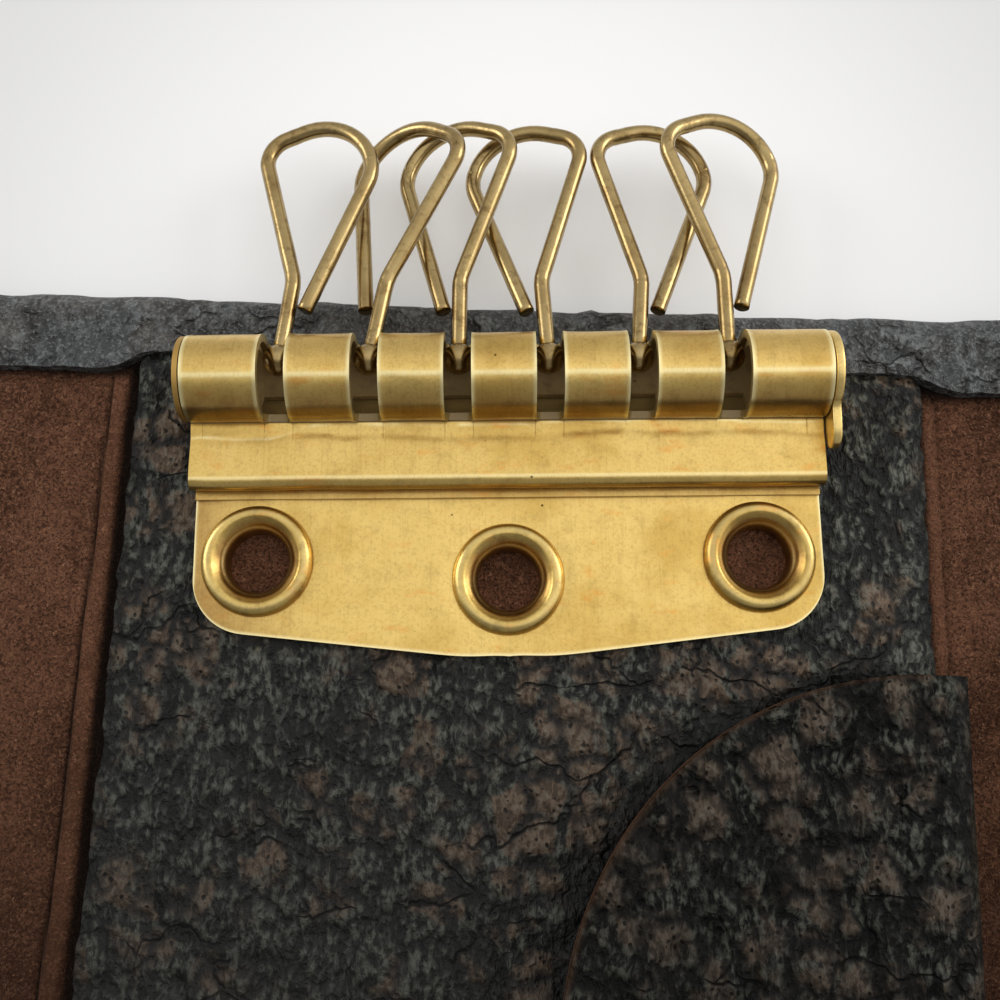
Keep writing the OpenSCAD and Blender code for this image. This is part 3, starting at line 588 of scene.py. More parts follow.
def leather_leaf(leaf, name):
    """Outer leather: the flat outside, half a round over the edge and the turned hem on top, one
    sheet of even thickness carried along that path."""
    flat, roll, hem = 12, 12, 13
    deep = np.linspace(INNER, EDGE_R, flat)
    angle = np.linspace(-np.pi / 2, np.pi / 2, roll + 1)[1:]
    along = np.linspace(0, 1, hem + 1)[1:]
    sheets = []
    for radius, z_low, z_high in ((EDGE_R, 0.0, TOP_Z), (EDGE_R - LEATHER_T, LEATHER_T, INSIDE_Z)):
        def inset(x, share):
            """Insets of the outside, the round edge and the hem in turn."""
            width = hem_width(leaf, x, share)
            return np.concatenate([deep[:, None] + 0 * x,
                                   (EDGE_R - radius * np.cos(angle))[:, None] + 0 * x,
                                   EDGE_R + along[:, None] * (width - EDGE_R)])
        x, y = leaf_border(leaf, inset)
        z = np.concatenate([np.full(flat, z_low), EDGE_R + radius * np.sin(angle),
                            np.full(hem, z_high)])[:, None] + 0 * x
        *sheet, level, quads = filled(leaf, x, y, z, np.arange(flat + roll + hem)[:, None])
        sheets.append(sheet)
    x, y, z = sheets[0]
    on_hem = step(level, flat + 3, flat + roll + 1)
    lump = waves(x, y, 5.5, 11) * 0.12 + waves(x, y, 2.6, 12) * 0.11 + 0.06
    sink = step(level, flat + roll + hem - 4, flat + roll + hem - 1) * 0.14
    panel_end = 31 if leaf is LEFT else 33.5
    swell = 0.1 * (1 - step(np.abs(x - panel_end), 0.2, 3.0))
    sheets[0][2] = z + on_hem * (lump + swell) - sink
    sway = step(level, 2, flat + 4) * 0.16 * waves(x, 0, 9.0, 14)
    for sheet in sheets:
        sheet[1] = sheet[1] + sway * np.sign(sheet[1] + 20)
    quads, outer, inner = weld(quads, *[leaf.place(*sheet) for sheet in sheets])
    quads, points = closed_sheet(quads, outer, inner)
    return make_piece(name, quads, points, outer_leather)


def flat_leaf(leaf, name, low, high, margin, finish, spacing, dress=None):
    """A flat layer inside a leaf, its border a margin inside the case's and its top shaped by
    dress; the right leaf's has a hole round the snap's cup."""
    deep = np.linspace(INNER, margin, int((INNER - margin) / spacing) + 2)
    x, y = leaf_border(leaf, lambda x, share: deep[:, None] + 0 * x, spacing)
    x, y, top, _, quads = filled(leaf, x, y, high, 0, spacing)
    layers = {"pressed": 0 * x, "gap": 0 * x}
    if dress:
        top, layers = dress(leaf, x, y, top)
    quads, upper, lower, *values = weld(quads, leaf.place(x, y, top),
                                        leaf.place(x, y, low + 0 * x), *layers.values())
    if leaf is RIGHT:
        snap_x = leaf.settle(np.array(leaf.fold + SNAP_REACH), np.array(high))[0]
        away = np.hypot(*(upper[quads][:, :, :2].mean(1) - [snap_x, SNAP_Y]).T)
        quads = quads[away > SNAP_HOLE_R]
    quads, points = closed_sheet(quads, upper, lower)
    return make_piece(name, quads, points, finish,
                      {k: np.tile(v, 2) for k, v in zip(layers, values)})


def dress_suede(leaf, x, y, top):
    """The lining's own relief: gentle waves, and beside the panel a rolled strip whose far side
    is a pressed crease; the gap layer carries painted shadow beside the panel and below the
    hem, and painted shade along the crease."""
    panel, seam, sway, taper, width, high, shadow, dark = (
        (PANEL_LEFT, 1.2, 0.12, 0.006, 1.25, 0.42, (0.8, 1.3), 0.9) if leaf is LEFT else
        (PANEL_RIGHT, 0.3, 0.0, 0.0, 0.9, 0.1, (0.0, 0.7), 0.2))
    width = width + taper * (14 - y)
    beyond = x - panel
    across = beyond - seam - sway * waves(y, 0, 16.0, 21)
    strip = step(across, -0.4, 0.2) * (1 - step(across, width - 0.3, width))
    crease = band(across, width + 0.05, 0.17)
    hem = np.minimum(y - FLAP_HEM + CASE_FOOT, CASE_TOP - FLAP_HEM - y)
    inside = step(beyond, -1.5, 0.0) * step(hem, 0.0, 1.0)
    # Painted shadow: dark beside the panel's edge and below the hem; the crease adds painted shade
    gap = np.maximum(step(beyond, -2.5, -1.0) * (1 - step(beyond, *shadow)),
                     (1 - step(hem, -0.3, 0.7)) * step(beyond, -3.0, -1.5))
    relief = 0.08 * waves(x, y, 9.0, 22) + 0.04 * waves(x, y, 3.5, 23)
    top = top + inside * (relief + high * strip - 0.12 * crease)
    return top, {"pressed": strip * inside, "gap": np.clip(gap + dark * crease * inside, 0, 1)}


left_leather, right_leather = (leather_leaf(leaf, f"leather_{leaf.name}") for leaf in LEAVES)
left_suede, right_suede = (
    flat_leaf(leaf, f"suede_{leaf.name}", BOARD_TOP, INSIDE_Z, SUEDE_INSET, suede, SPACING,
              dress_suede) for leaf in LEAVES)
left_board, right_board = (
    flat_leaf(leaf, f"board_sheet_{leaf.name}", LEATHER_T, BOARD_TOP, BOARD_INSET, board, spacing)
    for leaf, spacing in zip(LEAVES, (1.6, 0.8)))


# ---- Panel and key guard ----

def frame_place(x, y):
    """A place on the brass frame, which is turned a little about the origin."""
    return (x * np.cos(FRAME_TURN) - y * np.sin(FRAME_TURN),
            x * np.sin(FRAME_TURN) + y * np.cos(FRAME_TURN))


def panel():
    """Grained panel: a grid over its outline raised by scales and wrinkles, its long ends thinned
    below the hem, with a round hole below each eyelet onto which the nearest points are drawn."""
    spacing, scale_pitch, hole, thinned, gap_below = 0.42, 5.6, 2.55, 0.7, 0.02
    xs = np.linspace(-PANEL_LEFT, PANEL_RIGHT, int((PANEL_LEFT + PANEL_RIGHT) / spacing))
    ends = PANEL_HEM - PANEL_TUCK
    ys = np.linspace(ends - CASE_FOOT, CASE_TOP - ends,
                     int((CASE_TOP + CASE_FOOT - 2 * ends) / spacing))
    x, y = np.meshgrid(xs, ys)
    border, number = scales(x + 0.8 * waves(x, y, 9, 31), y + 0.8 * waves(x, y, 8, 32),
                            scale_pitch, 4.0)
    tile = step(border, 0.05, 0.75)
    relief = 0.20 * tile - 0.2 + 0.12 * waves(x, y, 3.0, 33) * tile + 0.07 * waves(x, y, 1.7, 34)
    relief += 0.12 * waves(x, y, 14.0, 35)
    side = np.minimum(x + PANEL_LEFT, PANEL_RIGHT - x)
    relief -= 0.28 * (1 - step(side, 0.0, 0.9))
    tuck = np.maximum(step(y, CASE_TOP - PANEL_HEM - 1.2, CASE_TOP - PANEL_HEM),
                      1 - step(y, PANEL_HEM - CASE_FOOT, PANEL_HEM - CASE_FOOT + 1.2))
    top = TOP_Z + relief * (1 - tuck) - thinned * tuck
    fx = x * np.cos(FRAME_TURN) + y * np.sin(FRAME_TURN)
    fy = y * np.cos(FRAME_TURN) - x * np.sin(FRAME_TURN)
    slope = 0.11  # of the flange's lower outline
    under = ((1 - step(np.abs(fx), HALF_W - 0.9, HALF_W + 0.1))
             * step(fy - slope * np.abs(fx), 0.1 - POINT_DROP, 1.3 - POINT_DROP))
    top = np.minimum(top, TOP_Z - gap_below) * under + top * (1 - under)
    x = x + np.where(side < 0.01, 0.14 * waves(y, 0, 4.0, 36), 0)
    gap = np.full(x.shape, 1e6)
    for place in EYELETS:
        ex, ey = frame_place(*place)
        away = np.hypot(x - ex, y - ey)
        ring = np.abs(away - hole) < 0.36
        x = np.where(ring, ex + (x - ex) * hole / np.maximum(away, 0.1), x)
        y = np.where(ring, ey + (y - ey) * hole / np.maximum(away, 0.1), y)
        gap = np.minimum(gap, np.hypot(x - ex, y - ey))
    quads = grid(*x.shape)
    quads = quads[gap.reshape(-1)[quads].mean(1) > hole - 0.02]
    quads, points = closed_sheet(quads, spots(x, y, top), spots(x, y, INSIDE_Z))
    tile = (tile * (0.35 + 0.65 * number)).reshape(-1)
    arc = np.hypot(x - GUARD_X, y - GUARD_Y) - GUARD_R
    shade = (1 - step(arc, 0.5, 1.5 + 0.3 * waves(x, y, 4.0, 37))) * step(arc, -6.0, -3.0)
    shade = np.maximum(shade * (x < GUARD_X - 1), 0.7 * (1 - step(side, 0.0, 0.7))).reshape(-1)
    return make_piece("panel_leather", quads, points, panel_leather,
                      {"tile": np.tile(tile, 2), "shade": np.tile(shade, 2)})


def guard():
    """Guard leaf: the section of foot, round fold and face carried along Y; the face ends on an
    arc about the guard's centre, and rows are spaced evenly along that arc."""
    rows, foots, turns, faces = 170, 15, 17, 74
    phi = np.linspace(-np.pi / 2, np.pi / 2, rows)[:, None]
    y = GUARD_Y + GUARD_R * np.sin(phi)
    end = GUARD_X - GUARD_R * np.cos(phi)
    foot = np.linspace(GUARD_BEND_X - GUARD_FOOT, GUARD_BEND_X, foots)[:-1]
    angle = np.linspace(-np.pi / 2, np.pi / 2, turns)
    along = np.linspace(0, 1, faces)[1:]
    layers = []
    for depth in (0.0, GUARD_T):
        radius = GUARD_BEND_R - depth
        fold_x = GUARD_BEND_X + radius * np.cos(angle) + 0 * y
        face_x = GUARD_BEND_X + (end - GUARD_BEND_X) * along
        x = np.concatenate([foot + 0 * y, fold_x, face_x], 1)
        z = np.concatenate([depth + 0 * foot, GUARD_BEND_R + radius * np.sin(angle),
                            2 * GUARD_BEND_R - depth + 0 * along])
        layers.append([x, y + 0 * x, TOP_Z + z + 0 * x])
    x, yy, z = layers[0]
    column = np.arange(x.shape[1])[None, :]
    on_face = step(column, len(foot) + 9, len(foot) + 18)
    rim = GUARD_R - np.hypot(np.minimum(x - GUARD_X, 0), yy - GUARD_Y)
    rim = np.where(x > GUARD_X, np.minimum(rim, GUARD_R - np.abs(yy - GUARD_Y)), rim)
    scale_pitch, fold_inset = 6.4, 7.5
    border, number = scales(x + 1.2 * waves(x, yy, 10, 41), yy + 1.2 * waves(x, yy, 9, 42),
                            scale_pitch, 9.0)
    tile = step(border, 0.0, 0.9)
    fold = band(rim, fold_inset + 1.2 * waves(x, yy, 12, 43), 0.7)
    relief = 0.30 * tile - 0.32 + 0.22 * waves(x, yy, 3.6, 44) + 0.18 * waves(x, yy, 12.0, 45)
    relief = relief - 0.30 * fold - 0.30 * (1 - step(rim, 0.0, 1.0))
    raw = band(rim, 0, 0.22) * on_face * (x < GUARD_X)
    shade = 0.5 * fold * on_face + 0.8 * (1 - step(column, len(foot) + 9, len(foot) + 17))
    layers[0][2] = z + on_face * relief
    marks = {"tile": tile * (0.3 + 0.7 * number), "raw": raw, "shade": shade}
    quads, outer, inner, *marks_of = weld(grid(*x.shape), *[spots(*layer) for layer in layers],
                                          *[np.ravel(v) for v in marks.values()])
    quads, points = closed_sheet(quads, outer, inner)
    leaf = make_piece("guard_face", quads, points, guard_leather,
                      {k: np.tile(v, 2) for k, v in zip(marks, marks_of)})

    along = np.linspace(0, 1, 60)
    x = GUARD_BEND_X - GUARD_T + (end - GUARD_BEND_X + GUARD_T) * along
    top = TOP_Z + GUARD_H - GUARD_T
    quads, points = closed_sheet(*weld(grid(*x.shape), spots(x, y, top),
                                       spots(x, y, top - GUARD_BACK_T)))
    blank = np.zeros(len(points))
    return leaf, make_piece("guard_lining", quads, points, suede,
                            {"pressed": blank, "gap": blank})


# ---- Brass ----

def on_frame(points):
    """Points of the brass frame, whose own zero is its flange's face midway between the eyelets,
    turned with it and raised onto the panel."""
    c, s = np.cos(FRAME_TURN), np.sin(FRAME_TURN)
    return points @ np.array([[c, s, 0], [-s, c, 0], [0, 0, 1]]) + [0, 0, FRAME_Z]


def joined(*parts):
    """Several closed shells as one mesh: each part is its quads, its points and anything else
    that it has for each point."""
    quads, *others = zip(*parts)
    counts = np.cumsum([0] + [len(points) for points in others[0]])
    return (np.concatenate([q + c for q, c in zip(quads, counts)]),
            *(np.concatenate(other) for other in others))


def outward(quads, points):
    """Turns a closed shell's quads round where they enclose a negative volume."""
    a, b, c, d = (points[quads[:, k]] for k in range(4))
    volume = (a * (np.cross(b, c) + np.cross(c, d))).sum()
    return (quads[:, ::-1] if volume < 0 else quads), points


def shell(outer, inner, quads=None, inside=0.0, wear=0.0, brown=0.0):
    """A closed sheet from the outer and inner coordinates of a grid, with layers for dark inner
    sides, for painted highlights with rubbed edges, and for painted shade with some patina; the
    inner points are all inside."""
    shape = outer[0].shape
    quads, points = closed_sheet(grid(*shape) if quads is None else quads,
                                 spots(*outer), spots(*inner))
    layers = np.stack([np.broadcast_to(v, shape).ravel() for v in (inside, wear, brown)], 1)
    return quads, points, np.concatenate([layers, np.tile([1.0, 0.0, 0.0], (len(layers), 1))])


def flange():
    """Flange: columns from its lower outline up to the barrel. The outline is a quarter round at
    each side and two slanting lines that meet in a blunt point; the eyelets' holes are left
    out, and each eyelet sits in a shallow dish."""
    r, slope, hole, dish = FLANGE_R, np.arctan2(POINT_DROP - SIDE_DROP, SIDE_X), 3.3, (4.2, 5.4)
    run = r * np.tan(np.pi / 4 - slope / 2)
    turn = np.linspace(np.pi, 1.5 * np.pi - slope, 16)
    cx, cy = r - SIDE_X, run - SIDE_DROP
    line = np.linspace(cx + r * np.cos(turn[-1]), 0, 62)[1:]
    left_x = np.concatenate([cx + r * np.cos(turn), line])
    left_y = np.concatenate([cy + r * np.sin(turn),
                             0.42 * band(line, 0, 2.6) - POINT_DROP - line * np.tan(slope)])
    bx = np.concatenate([left_x, -left_x[-2::-1]])
    by = np.concatenate([left_y, left_y[-2::-1]])
    v = np.linspace(0, 1, 64)[:, None]
    x, y = bx + 0 * v, by + v * (BARREL_Y - by)
    near = np.min([np.hypot(x - ex, y - ey) for ex, ey in EYELETS], axis=0)
    z = 0.016 * waves(x, y, 15.0, 51) + 0.003 * waves(x, y, 4.0, 52)
    z = z - 0.10 * (1 - step(near, *dish))
    quads = grid(*x.shape)
    quads = quads[near.ravel()[quads].mean(1) > hole]
    rim = np.minimum(y - by, SIDE_X - np.abs(x))
    # Painted shade: darker and browner towards the left end, with some patina, and next to the
    # ledge under the strip; a painted highlight along the outline
    brown = 0.95 * (1 - step(x + 0.3 * y, -26.0, -16.0)) + 0.35 * step(y, 4.2, 5.0)
    return shell((x, y, z), (x, y, z - SHEET_T), quads, wear=0.9 * band(rim, 0, 0.16), brown=brown)


def ledge():
    """Low ledge that the strip's roll bears on."""
    x, y = np.meshgrid(np.linspace(-SIDE_X, SIDE_X, 60), np.linspace(*LEDGE_Y, 6))
    # Painted shade all along the ledge, under the strip's roll
    return shell((x, y, LEDGE_H + 0.02 * waves(x, y, 12.0, 53)), (x, y, -0.05), brown=0.55)


def strip():
    """Strip between barrel and flange: a flat face, slightly hollow below the barrel and wavy
    along it, that rolls under at its lower edge in half a round. A painted highlight runs along
    the hollow and another along the roll; a little painted shade lies all over, and more on the
    roll's underside."""
    seam = BARREL_Y - 3.42
    flat = np.concatenate([[seam + 0.30, seam + 0.06], np.linspace(seam, STRIP_EDGE + ROLL_R, 60)])
    angle = np.linspace(np.pi / 2, 1.5 * np.pi, 18)[1:]
    xs = np.linspace(-HALF_W, HALF_W, 160)[:, None]
    cy, cz = STRIP_EDGE + ROLL_R, STRIP_Z - ROLL_R
    sheets = []
    for r in (ROLL_R, ROLL_R - SHEET_T):
        y = np.concatenate([flat, cy + r * np.cos(angle)]) + 0 * xs
        z = np.concatenate([0 * flat + cz + r, cz + r * np.sin(angle)]) + 0 * xs
        x = xs + 0 * y
        dip = 0.10 * band(y, 9.6 + 0.25 * waves(xs, 0, 11.0, 54), 0.55)
        end = 0.12 * step(-xs, 17.0, 24.0) * band(y, 8.6, 1.0)
        soft = 0.014 * waves(x, y, 9.0, 55) + 0.005 * waves(x, y, 2.6, 56)
        face = step(y, cy - 0.8, cy + 0.3)
        sheets.append((x, y + 0.03 * waves(xs, 0, 14.0, 57) * (1 - face),
                       z - (dip + end) * face + soft * (0.3 + 0.7 * face)))
    lean = np.concatenate([0 * flat, angle - np.pi / 2]) + 0 * xs
    hollow = 9.3 + 1.05 * step(xs, -19.0, -14.5) + 0.14 * waves(xs, 0, 9.0, 54)
    # Painted highlights: a broken line along the hollow and one along the top of the roll
    wear = (0.42 + 0.22 * waves(xs, 0, 5.0, 59)) * band(y, hollow, 0.17)
    wear += 0.7 * band(np.where(lean > 0, lean * ROLL_R, cy - y), 0.08, 0.15)
    return shell(*sheets, inside=step(y, seam, seam + 0.06), wear=wear,
                 brown=0.10 + 0.45 * step(lean, 0.6, 1.4))


def barrel():
    """Barrel: columns along the axis and rows round it, from the flange over the back and top to
    the strip and on under it; each slot's faces are left out, and the rows draw back to round its
    front end."""
    xs = [-HALF_W]
    for slot in SLOTS:
        xs += list(np.linspace(xs[-1], slot - SLOT_W / 2, 15)[1:])
        xs += list(np.linspace(slot - SLOT_W / 2, slot + SLOT_W / 2, 11)[1:])
    xs = np.array(xs + list(np.linspace(xs[-1], HALF_W, 15)[1:]))[:, None]
    turns, counts = (-90, SLOT_BACK, 175, SLOT_FRONT, STRIP_ANGLE + 12, 262), (20, 70, 9, 7, 14)
    rows = np.concatenate([np.linspace(a, b, n)[:-1] for a, b, n in zip(turns, turns[1:], counts)]
                          + [turns[-1:]])
    across = np.min([np.abs(xs - slot) for slot in SLOTS], axis=0)
    round_end = 1 - np.sqrt(1 - np.clip((across - 0.5) / 0.55, 0, 1) ** 2)
    round_end = np.where(across > SLOT_W / 2 + 0.01, step(across, 2.4, 1.05), round_end)
    pull = step(rows, 172, SLOT_FRONT) * (1 - step(rows, SLOT_FRONT, 204))
    angle = np.radians(rows + 9.0 * (band(rows, SLOT_BACK, 6.0) - pull) * round_end)
    flare = 0.05 * band(across, SLOT_W / 2, 0.3) * (across > SLOT_W / 2 - 0.01)
    dent = 0.02 * waves(xs, rows / 12, 9.0, 58)
    x = xs + 0 * angle
    walls = [(x, BARREL_Y + r * np.cos(angle), AXIS_Z + r * np.sin(angle))
             for r in (BARREL_R + dent + flare - 0.02, BORE_R)]
    in_slot = np.abs((xs[:-1] + xs[1:]) / 2 - np.array(SLOTS)).min(1) < SLOT_W / 2
    turn = (rows[:-1] + rows[1:]) / 2
    open_ = np.outer(in_slot, (turn > SLOT_BACK) & (turn < SLOT_FRONT)).ravel()
    # Rubbed, paler rims at the slots' edges and the barrel's ends, and a painted highlight band
    # round the barrel facing the camera
    rub_and_highlight = band(across, SLOT_W / 2 + 0.05, 0.2) + band(np.abs(xs), HALF_W, 0.25)
    rub_and_highlight = np.maximum(np.clip(rub_and_highlight, 0, 1) * (rows < SLOT_FRONT), 0.75 * band(rows, 103.5, 4.2))
    # Painted reflection bands: darker and browner below the highlight, and a tan band above it
    shade = 0.80 * step(rows, 108, 146) * (1 - 0.45 * step(rows, 166, 182))
    shade += 0.30 * step(rows, 35, 55) * (1 - step(rows, 90, 98))
    slot_end = (rows > SLOT_FRONT - 1) & (across < SLOT_W / 2 - 0.2)
    return shell(*walls, grid(*x.shape)[~open_], np.maximum(rows > STRIP_ANGLE + 4, slot_end),
                 rub_and_highlight, shade * (1 - 0.8 * rub_and_highlight))


def brass_frame():
    """The whole sheet of brass as one piece, its edges rounded."""
    quads, points, layers = joined(flange(), ledge(), strip(), barrel())
    piece = make_piece("brass_frame", quads, on_frame(points), frame_brass,
                       dict(zip(("inside", "wear", "brown"), layers.T)), 50)
    bevel = piece.modifiers.new("edges", "BEVEL")
    bevel.width, bevel.segments, bevel.limit_method = 0.13 * MM, 2, "ANGLE"
    bevel.angle_limit = np.radians(50)
    return piece


def turned(axis, degrees):
    """Rotation about one axis, for points in rows."""
    c, s = np.cos(np.radians(degrees)), np.sin(np.radians(degrees))
    return {"x": np.array([[1, 0, 0], [0, c, s], [0, -s, c]]),
            "y": np.array([[c, 0, -s], [0, 1, 0], [s, 0, c]]),
            "z": np.array([[c, s, 0], [-s, c, 0], [0, 0, 1]])}[axis]


def eyelet(name, place):
    """Rolled eyelet: a section of dome, hollow mouth, tube and clenched foot, turned once round
    the eyelet's axis; handling has left it a little uneven."""
    t = np.linspace(0, np.pi / 2, 13)
    dome = np.stack([EYELET_ROLL_X + EYELET_ROLL_H * np.cos(t), EYELET_ROLL_H * np.sin(t)])
    u = np.linspace(0, 1, 13)[1:]
    curve = np.stack([(1 - u) ** 3, 3 * (1 - u) ** 2 * u, 3 * (1 - u) * u ** 2, u ** 3])
    mouth = [[EYELET_ROLL_X, 3.22, 2.92, 2.62], [EYELET_ROLL_H, 0.70, 0.30, -0.06]] @ curve
    mouth[1] += 0.02 * np.sin(u * 12)
    tube = [[2.46, 2.4, 2.4, 3.5, 3.5, EYELET_TUBE_R, EYELET_TUBE_R, 4.25],
            [-0.3, -0.5, -1.8, -1.8, -1.55, -1.55, -0.03, -0.03]]
    r, z = np.concatenate([dome, mouth, tube, dome[:, :1]], 1)[:, :, None]
    a = np.linspace(0, 2 * np.pi, 97)
    warp = 0.03 * np.sin(2 * a + place[0]) + 0.02 * np.sin(5 * a + 1)
    points = spots(place[0] + r * np.cos(a), place[1] + r * np.sin(a), z + warp * (z > 0.3))
    level = np.arange(len(r))[:, None] + 0 * a
    # Painted shade on the outer edge and down the mouth and tube, with some patina there; painted
    # highlights round the dome's crest and at the lip
    brown = 0.8 * (1 - step(level, 0, 5)) + 0.8 * step(level, 13, 20)
    wear = 0.4 * band(level, 23.5, 1.0) + 0.3 * band(level, 10, 3.0)
    quads, points, brown, wear = weld(grid(*level.shape), points, brown.ravel(), wear.ravel())
    return make_piece(name, quads, on_frame(points), eyelet_brass,
                      {"brown": brown, "wear": wear}, 50)


# The hook wire's corners and the radii of its bends, then how each hook rests: the side of its
# loop, its lean, its twist and its lift
WIRE_CORNERS = np.array([[0, SEAT], [0, SHANK], [-0.686 * SLOT_PITCH, 0.852 * HOOK_L],
                         [0.457 * SLOT_PITCH, HOOK_L], [0.728 * SLOT_PITCH, 0.758 * HOOK_L],
                         [2.2 * WIRE_R, 0.69 * SHANK]])
WIRE_BENDS = (4.0, 2.2, 4.6, 3.4)
HOOK_RESTS = ((1, 6.8, 10, -5), (-1, 10.4, -28, -4.5), (-1, 0.7, -20, -6), (-1, -3.7, -12, -7.5),
              (1, 5, -8, -7.5), (1, 0.2, -14, -4))


def wire_path():
    """Middle of the wire: straight runs between corners, each corner an arc of its own radius."""
    path = [WIRE_CORNERS[0]]
    for k, r in enumerate(WIRE_BENDS, 1):
        into = WIRE_CORNERS[k] - WIRE_CORNERS[k - 1]
        out = WIRE_CORNERS[k + 1] - WIRE_CORNERS[k]
        into, out = into / np.hypot(*into), out / np.hypot(*out)
        bend = np.arccos(into @ out)
        side = np.sign(into[0] * out[1] - into[1] * out[0])
        normal = side * np.array([-into[1], into[0]])
        start = WIRE_CORNERS[k] - into * r * np.tan(bend / 2)
        t = np.linspace(0, bend, 14)[:, None]
        arc = start + r * (np.sin(t) * into + (1 - np.cos(t)) * normal)
        run = np.linspace(0, 1, 14)[1:-1, None]
        path += list(path[-1] + run * (arc[0] - path[-1])) + list(arc)
    run = np.linspace(0, 1, 30)[1:, None]
    return np.array(path + list(path[-1] + run * (WIRE_CORNERS[-1] - path[-1])))


def hook(number):
    """Key hook: a round section carried along the wire's path, its free end cut square with a
    small chamfer, and a ball for the slot at the other end."""
    path = wire_path()
    ahead = np.gradient(path, axis=0)
    ahead /= np.linalg.norm(ahead, axis=1)[:, None]
    side = np.stack([-ahead[:, 1], ahead[:, 0]], 1)
    tip = path[-1:] + 0.06 * ahead[-1]
    size = np.concatenate([[0.0], np.full(len(path), WIRE_R), [WIRE_R - 0.07, 0.0]])[:, None]
    path = np.concatenate([path[:1], path, tip, tip])
    side = np.concatenate([side[:1], side, side[-1:], side[-1:]])
    size = size * (1 + 0.012 * waves(np.arange(len(path))[:, None] * 0.5, 0, 4.0, 60 + number))
    t = np.linspace(0, 2 * np.pi, 29)
    x, y = (path[:, k, None] + size * np.cos(t) * side[:, k, None] for k in (0, 1))
    tube = weld(grid(*x.shape), spots(x, y, size * np.sin(t)))
    u, v = np.meshgrid(np.linspace(0, 2 * np.pi, 33), np.linspace(0, np.pi, 19))
    ball = weld(grid(*u.shape), spots(BALL_R * np.sin(v) * np.cos(u), SEAT + BALL_R * np.cos(v),
                                      BALL_R * np.sin(v) * np.sin(u)))
    quads, points = joined(outward(*tube), outward(*ball))
    way, lean, twist, lift = HOOK_RESTS[number - 1]
    seat = np.array([0, SEAT, 0])
    points = (points - seat) @ turned("y", -twist if way > 0 else 180 + twist) @ turned("z", -lean)
    points = (points + seat) @ turned("x", lift) + [SLOTS[number - 1], BARREL_Y, AXIS_Z]
    return make_piece(f"wire_hook_{number}", quads, on_frame(points), hook_brass, None, 50)


def lever():
    """Release lever: a disc with a thumb tab, its outline given by the distance from the axis,
    and a domed edge; its boss runs into the lock tube."""
    t = np.linspace(0, 2 * np.pi, 97)[:-1]
    near, mid = np.abs(t - np.pi), TAB_REACH - TAB_R
    side = np.where(near < np.pi / 2, TAB_R / np.maximum(np.sin(near), 1e-3), 0)
    end = mid * np.cos(near) + np.sqrt(np.maximum(TAB_R ** 2 - (mid * np.sin(near)) ** 2, 0))
    arm = np.where((mid * np.sin(near) < TAB_R) & (side * np.cos(near) >= mid), end, side)
    arm = np.where(near < 0.5, np.minimum(arm, TAB_REACH), 0)
    outline = np.maximum(BARREL_R - 0.12, arm)
    for _ in range(2):
        outline = (np.roll(outline, 1) + 2 * outline + np.roll(outline, -1)) / 4
    v = np.linspace(-1, 1, 25)[:, None]
    rim = 0.4
    shrink = np.minimum(1, 1 - (np.abs(v) - rim) / (1 - rim))
    puff = LEVER_HALF_T * np.sign(v) * np.minimum(1, np.abs(v) / rim) ** 0.6
    inset = 0.16 * (1 - np.sqrt(1 - np.clip(np.abs(v) / rim, 0, 1) ** 2))
    r = (outline - inset) * shrink
    r, t = np.concatenate([r, r[:, :1]], 1), np.append(t, t[0])
    disc = weld(grid(*r.shape), spots(HALF_W + LEVER_GAP + LEVER_HALF_T + puff,
                                      BARREL_Y + r * np.cos(t), AXIS_Z + r * np.sin(t)))
    u, w = np.meshgrid(np.linspace(0, 2 * np.pi, 41), np.arange(4))
    size = np.array([0, 2.2, 2.2, 0])[w]
    boss = weld(grid(*u.shape), spots(HALF_W + np.array([-2.1, -2.1, 0.3, 0.3])[w],
                                      BARREL_Y + size * np.cos(u), AXIS_Z + size * np.sin(u)))
    quads, points = joined(outward(*disc), outward(*boss))
    blank = np.zeros(len(points))
    return make_piece("lever_plate", quads, on_frame(points), frame_brass,
                      {"inside": blank, "wear": blank + 0.3, "brown": blank}, 50)


panel_piece = panel()
guard_piece, guard_lining = guard()
frame_piece = brass_frame()
hook_pieces = [hook(i) for i in range(1, 7)]
eyelet_pieces = {side: eyelet(f"rolled_eyelet_{side}", place)
                 for side, place in zip(("left", "middle", "right"), EYELETS)}
lever_piece = lever()

# ---- Frame: what each piece stands for and rides on ----

def metres(*values):
    """Millimetres as metres."""
    return tuple(v * MM for v in values)


# Each piece with the nodes that it replaces, the body or leaf that carries it, and its slot
PIECES = [
    (left_leather, ("shell_left", "shell_centre"), LEFT, "outer_leather"),
    (right_leather, ("shell_right",), RIGHT, "outer_leather"),
    (left_suede, ("lining_left", "lining_centre"), LEFT, "suede"),
    (right_suede, ("lining_right",), RIGHT, "suede"),
    (left_board, ("board_left", "board_centre"), LEFT, "board"),
    (right_board, ("board_right",), RIGHT, "board"),
    (panel_piece, ("centre_panel",), "case_centre", "panel_leather"),
    (guard_piece, ("guard_leaf",), "case_centre", "guard_leather"),
    (guard_lining, ("guard_backing",), "case_centre", "suede"),
    (frame_piece, ("key_frame",), "case_centre", "frame_brass"),
    (lever_piece, ("release_lever",), "lock_tube", "frame_brass"),
    *((piece, (f"eyelet_{side}",), "case_centre", "frame_brass")
      for side, piece in eyelet_pieces.items()),
    *((piece, (f"hook_{i}",), f"hook_{i}", "hook_brass")
      for i, piece in enumerate(hook_pieces, 1))]
for piece, nodes, carrier, slot in PIECES:
    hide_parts(*nodes)
    if isinstance(carrier, Leaf):
        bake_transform(piece)
    else:
        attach(piece, carrier)

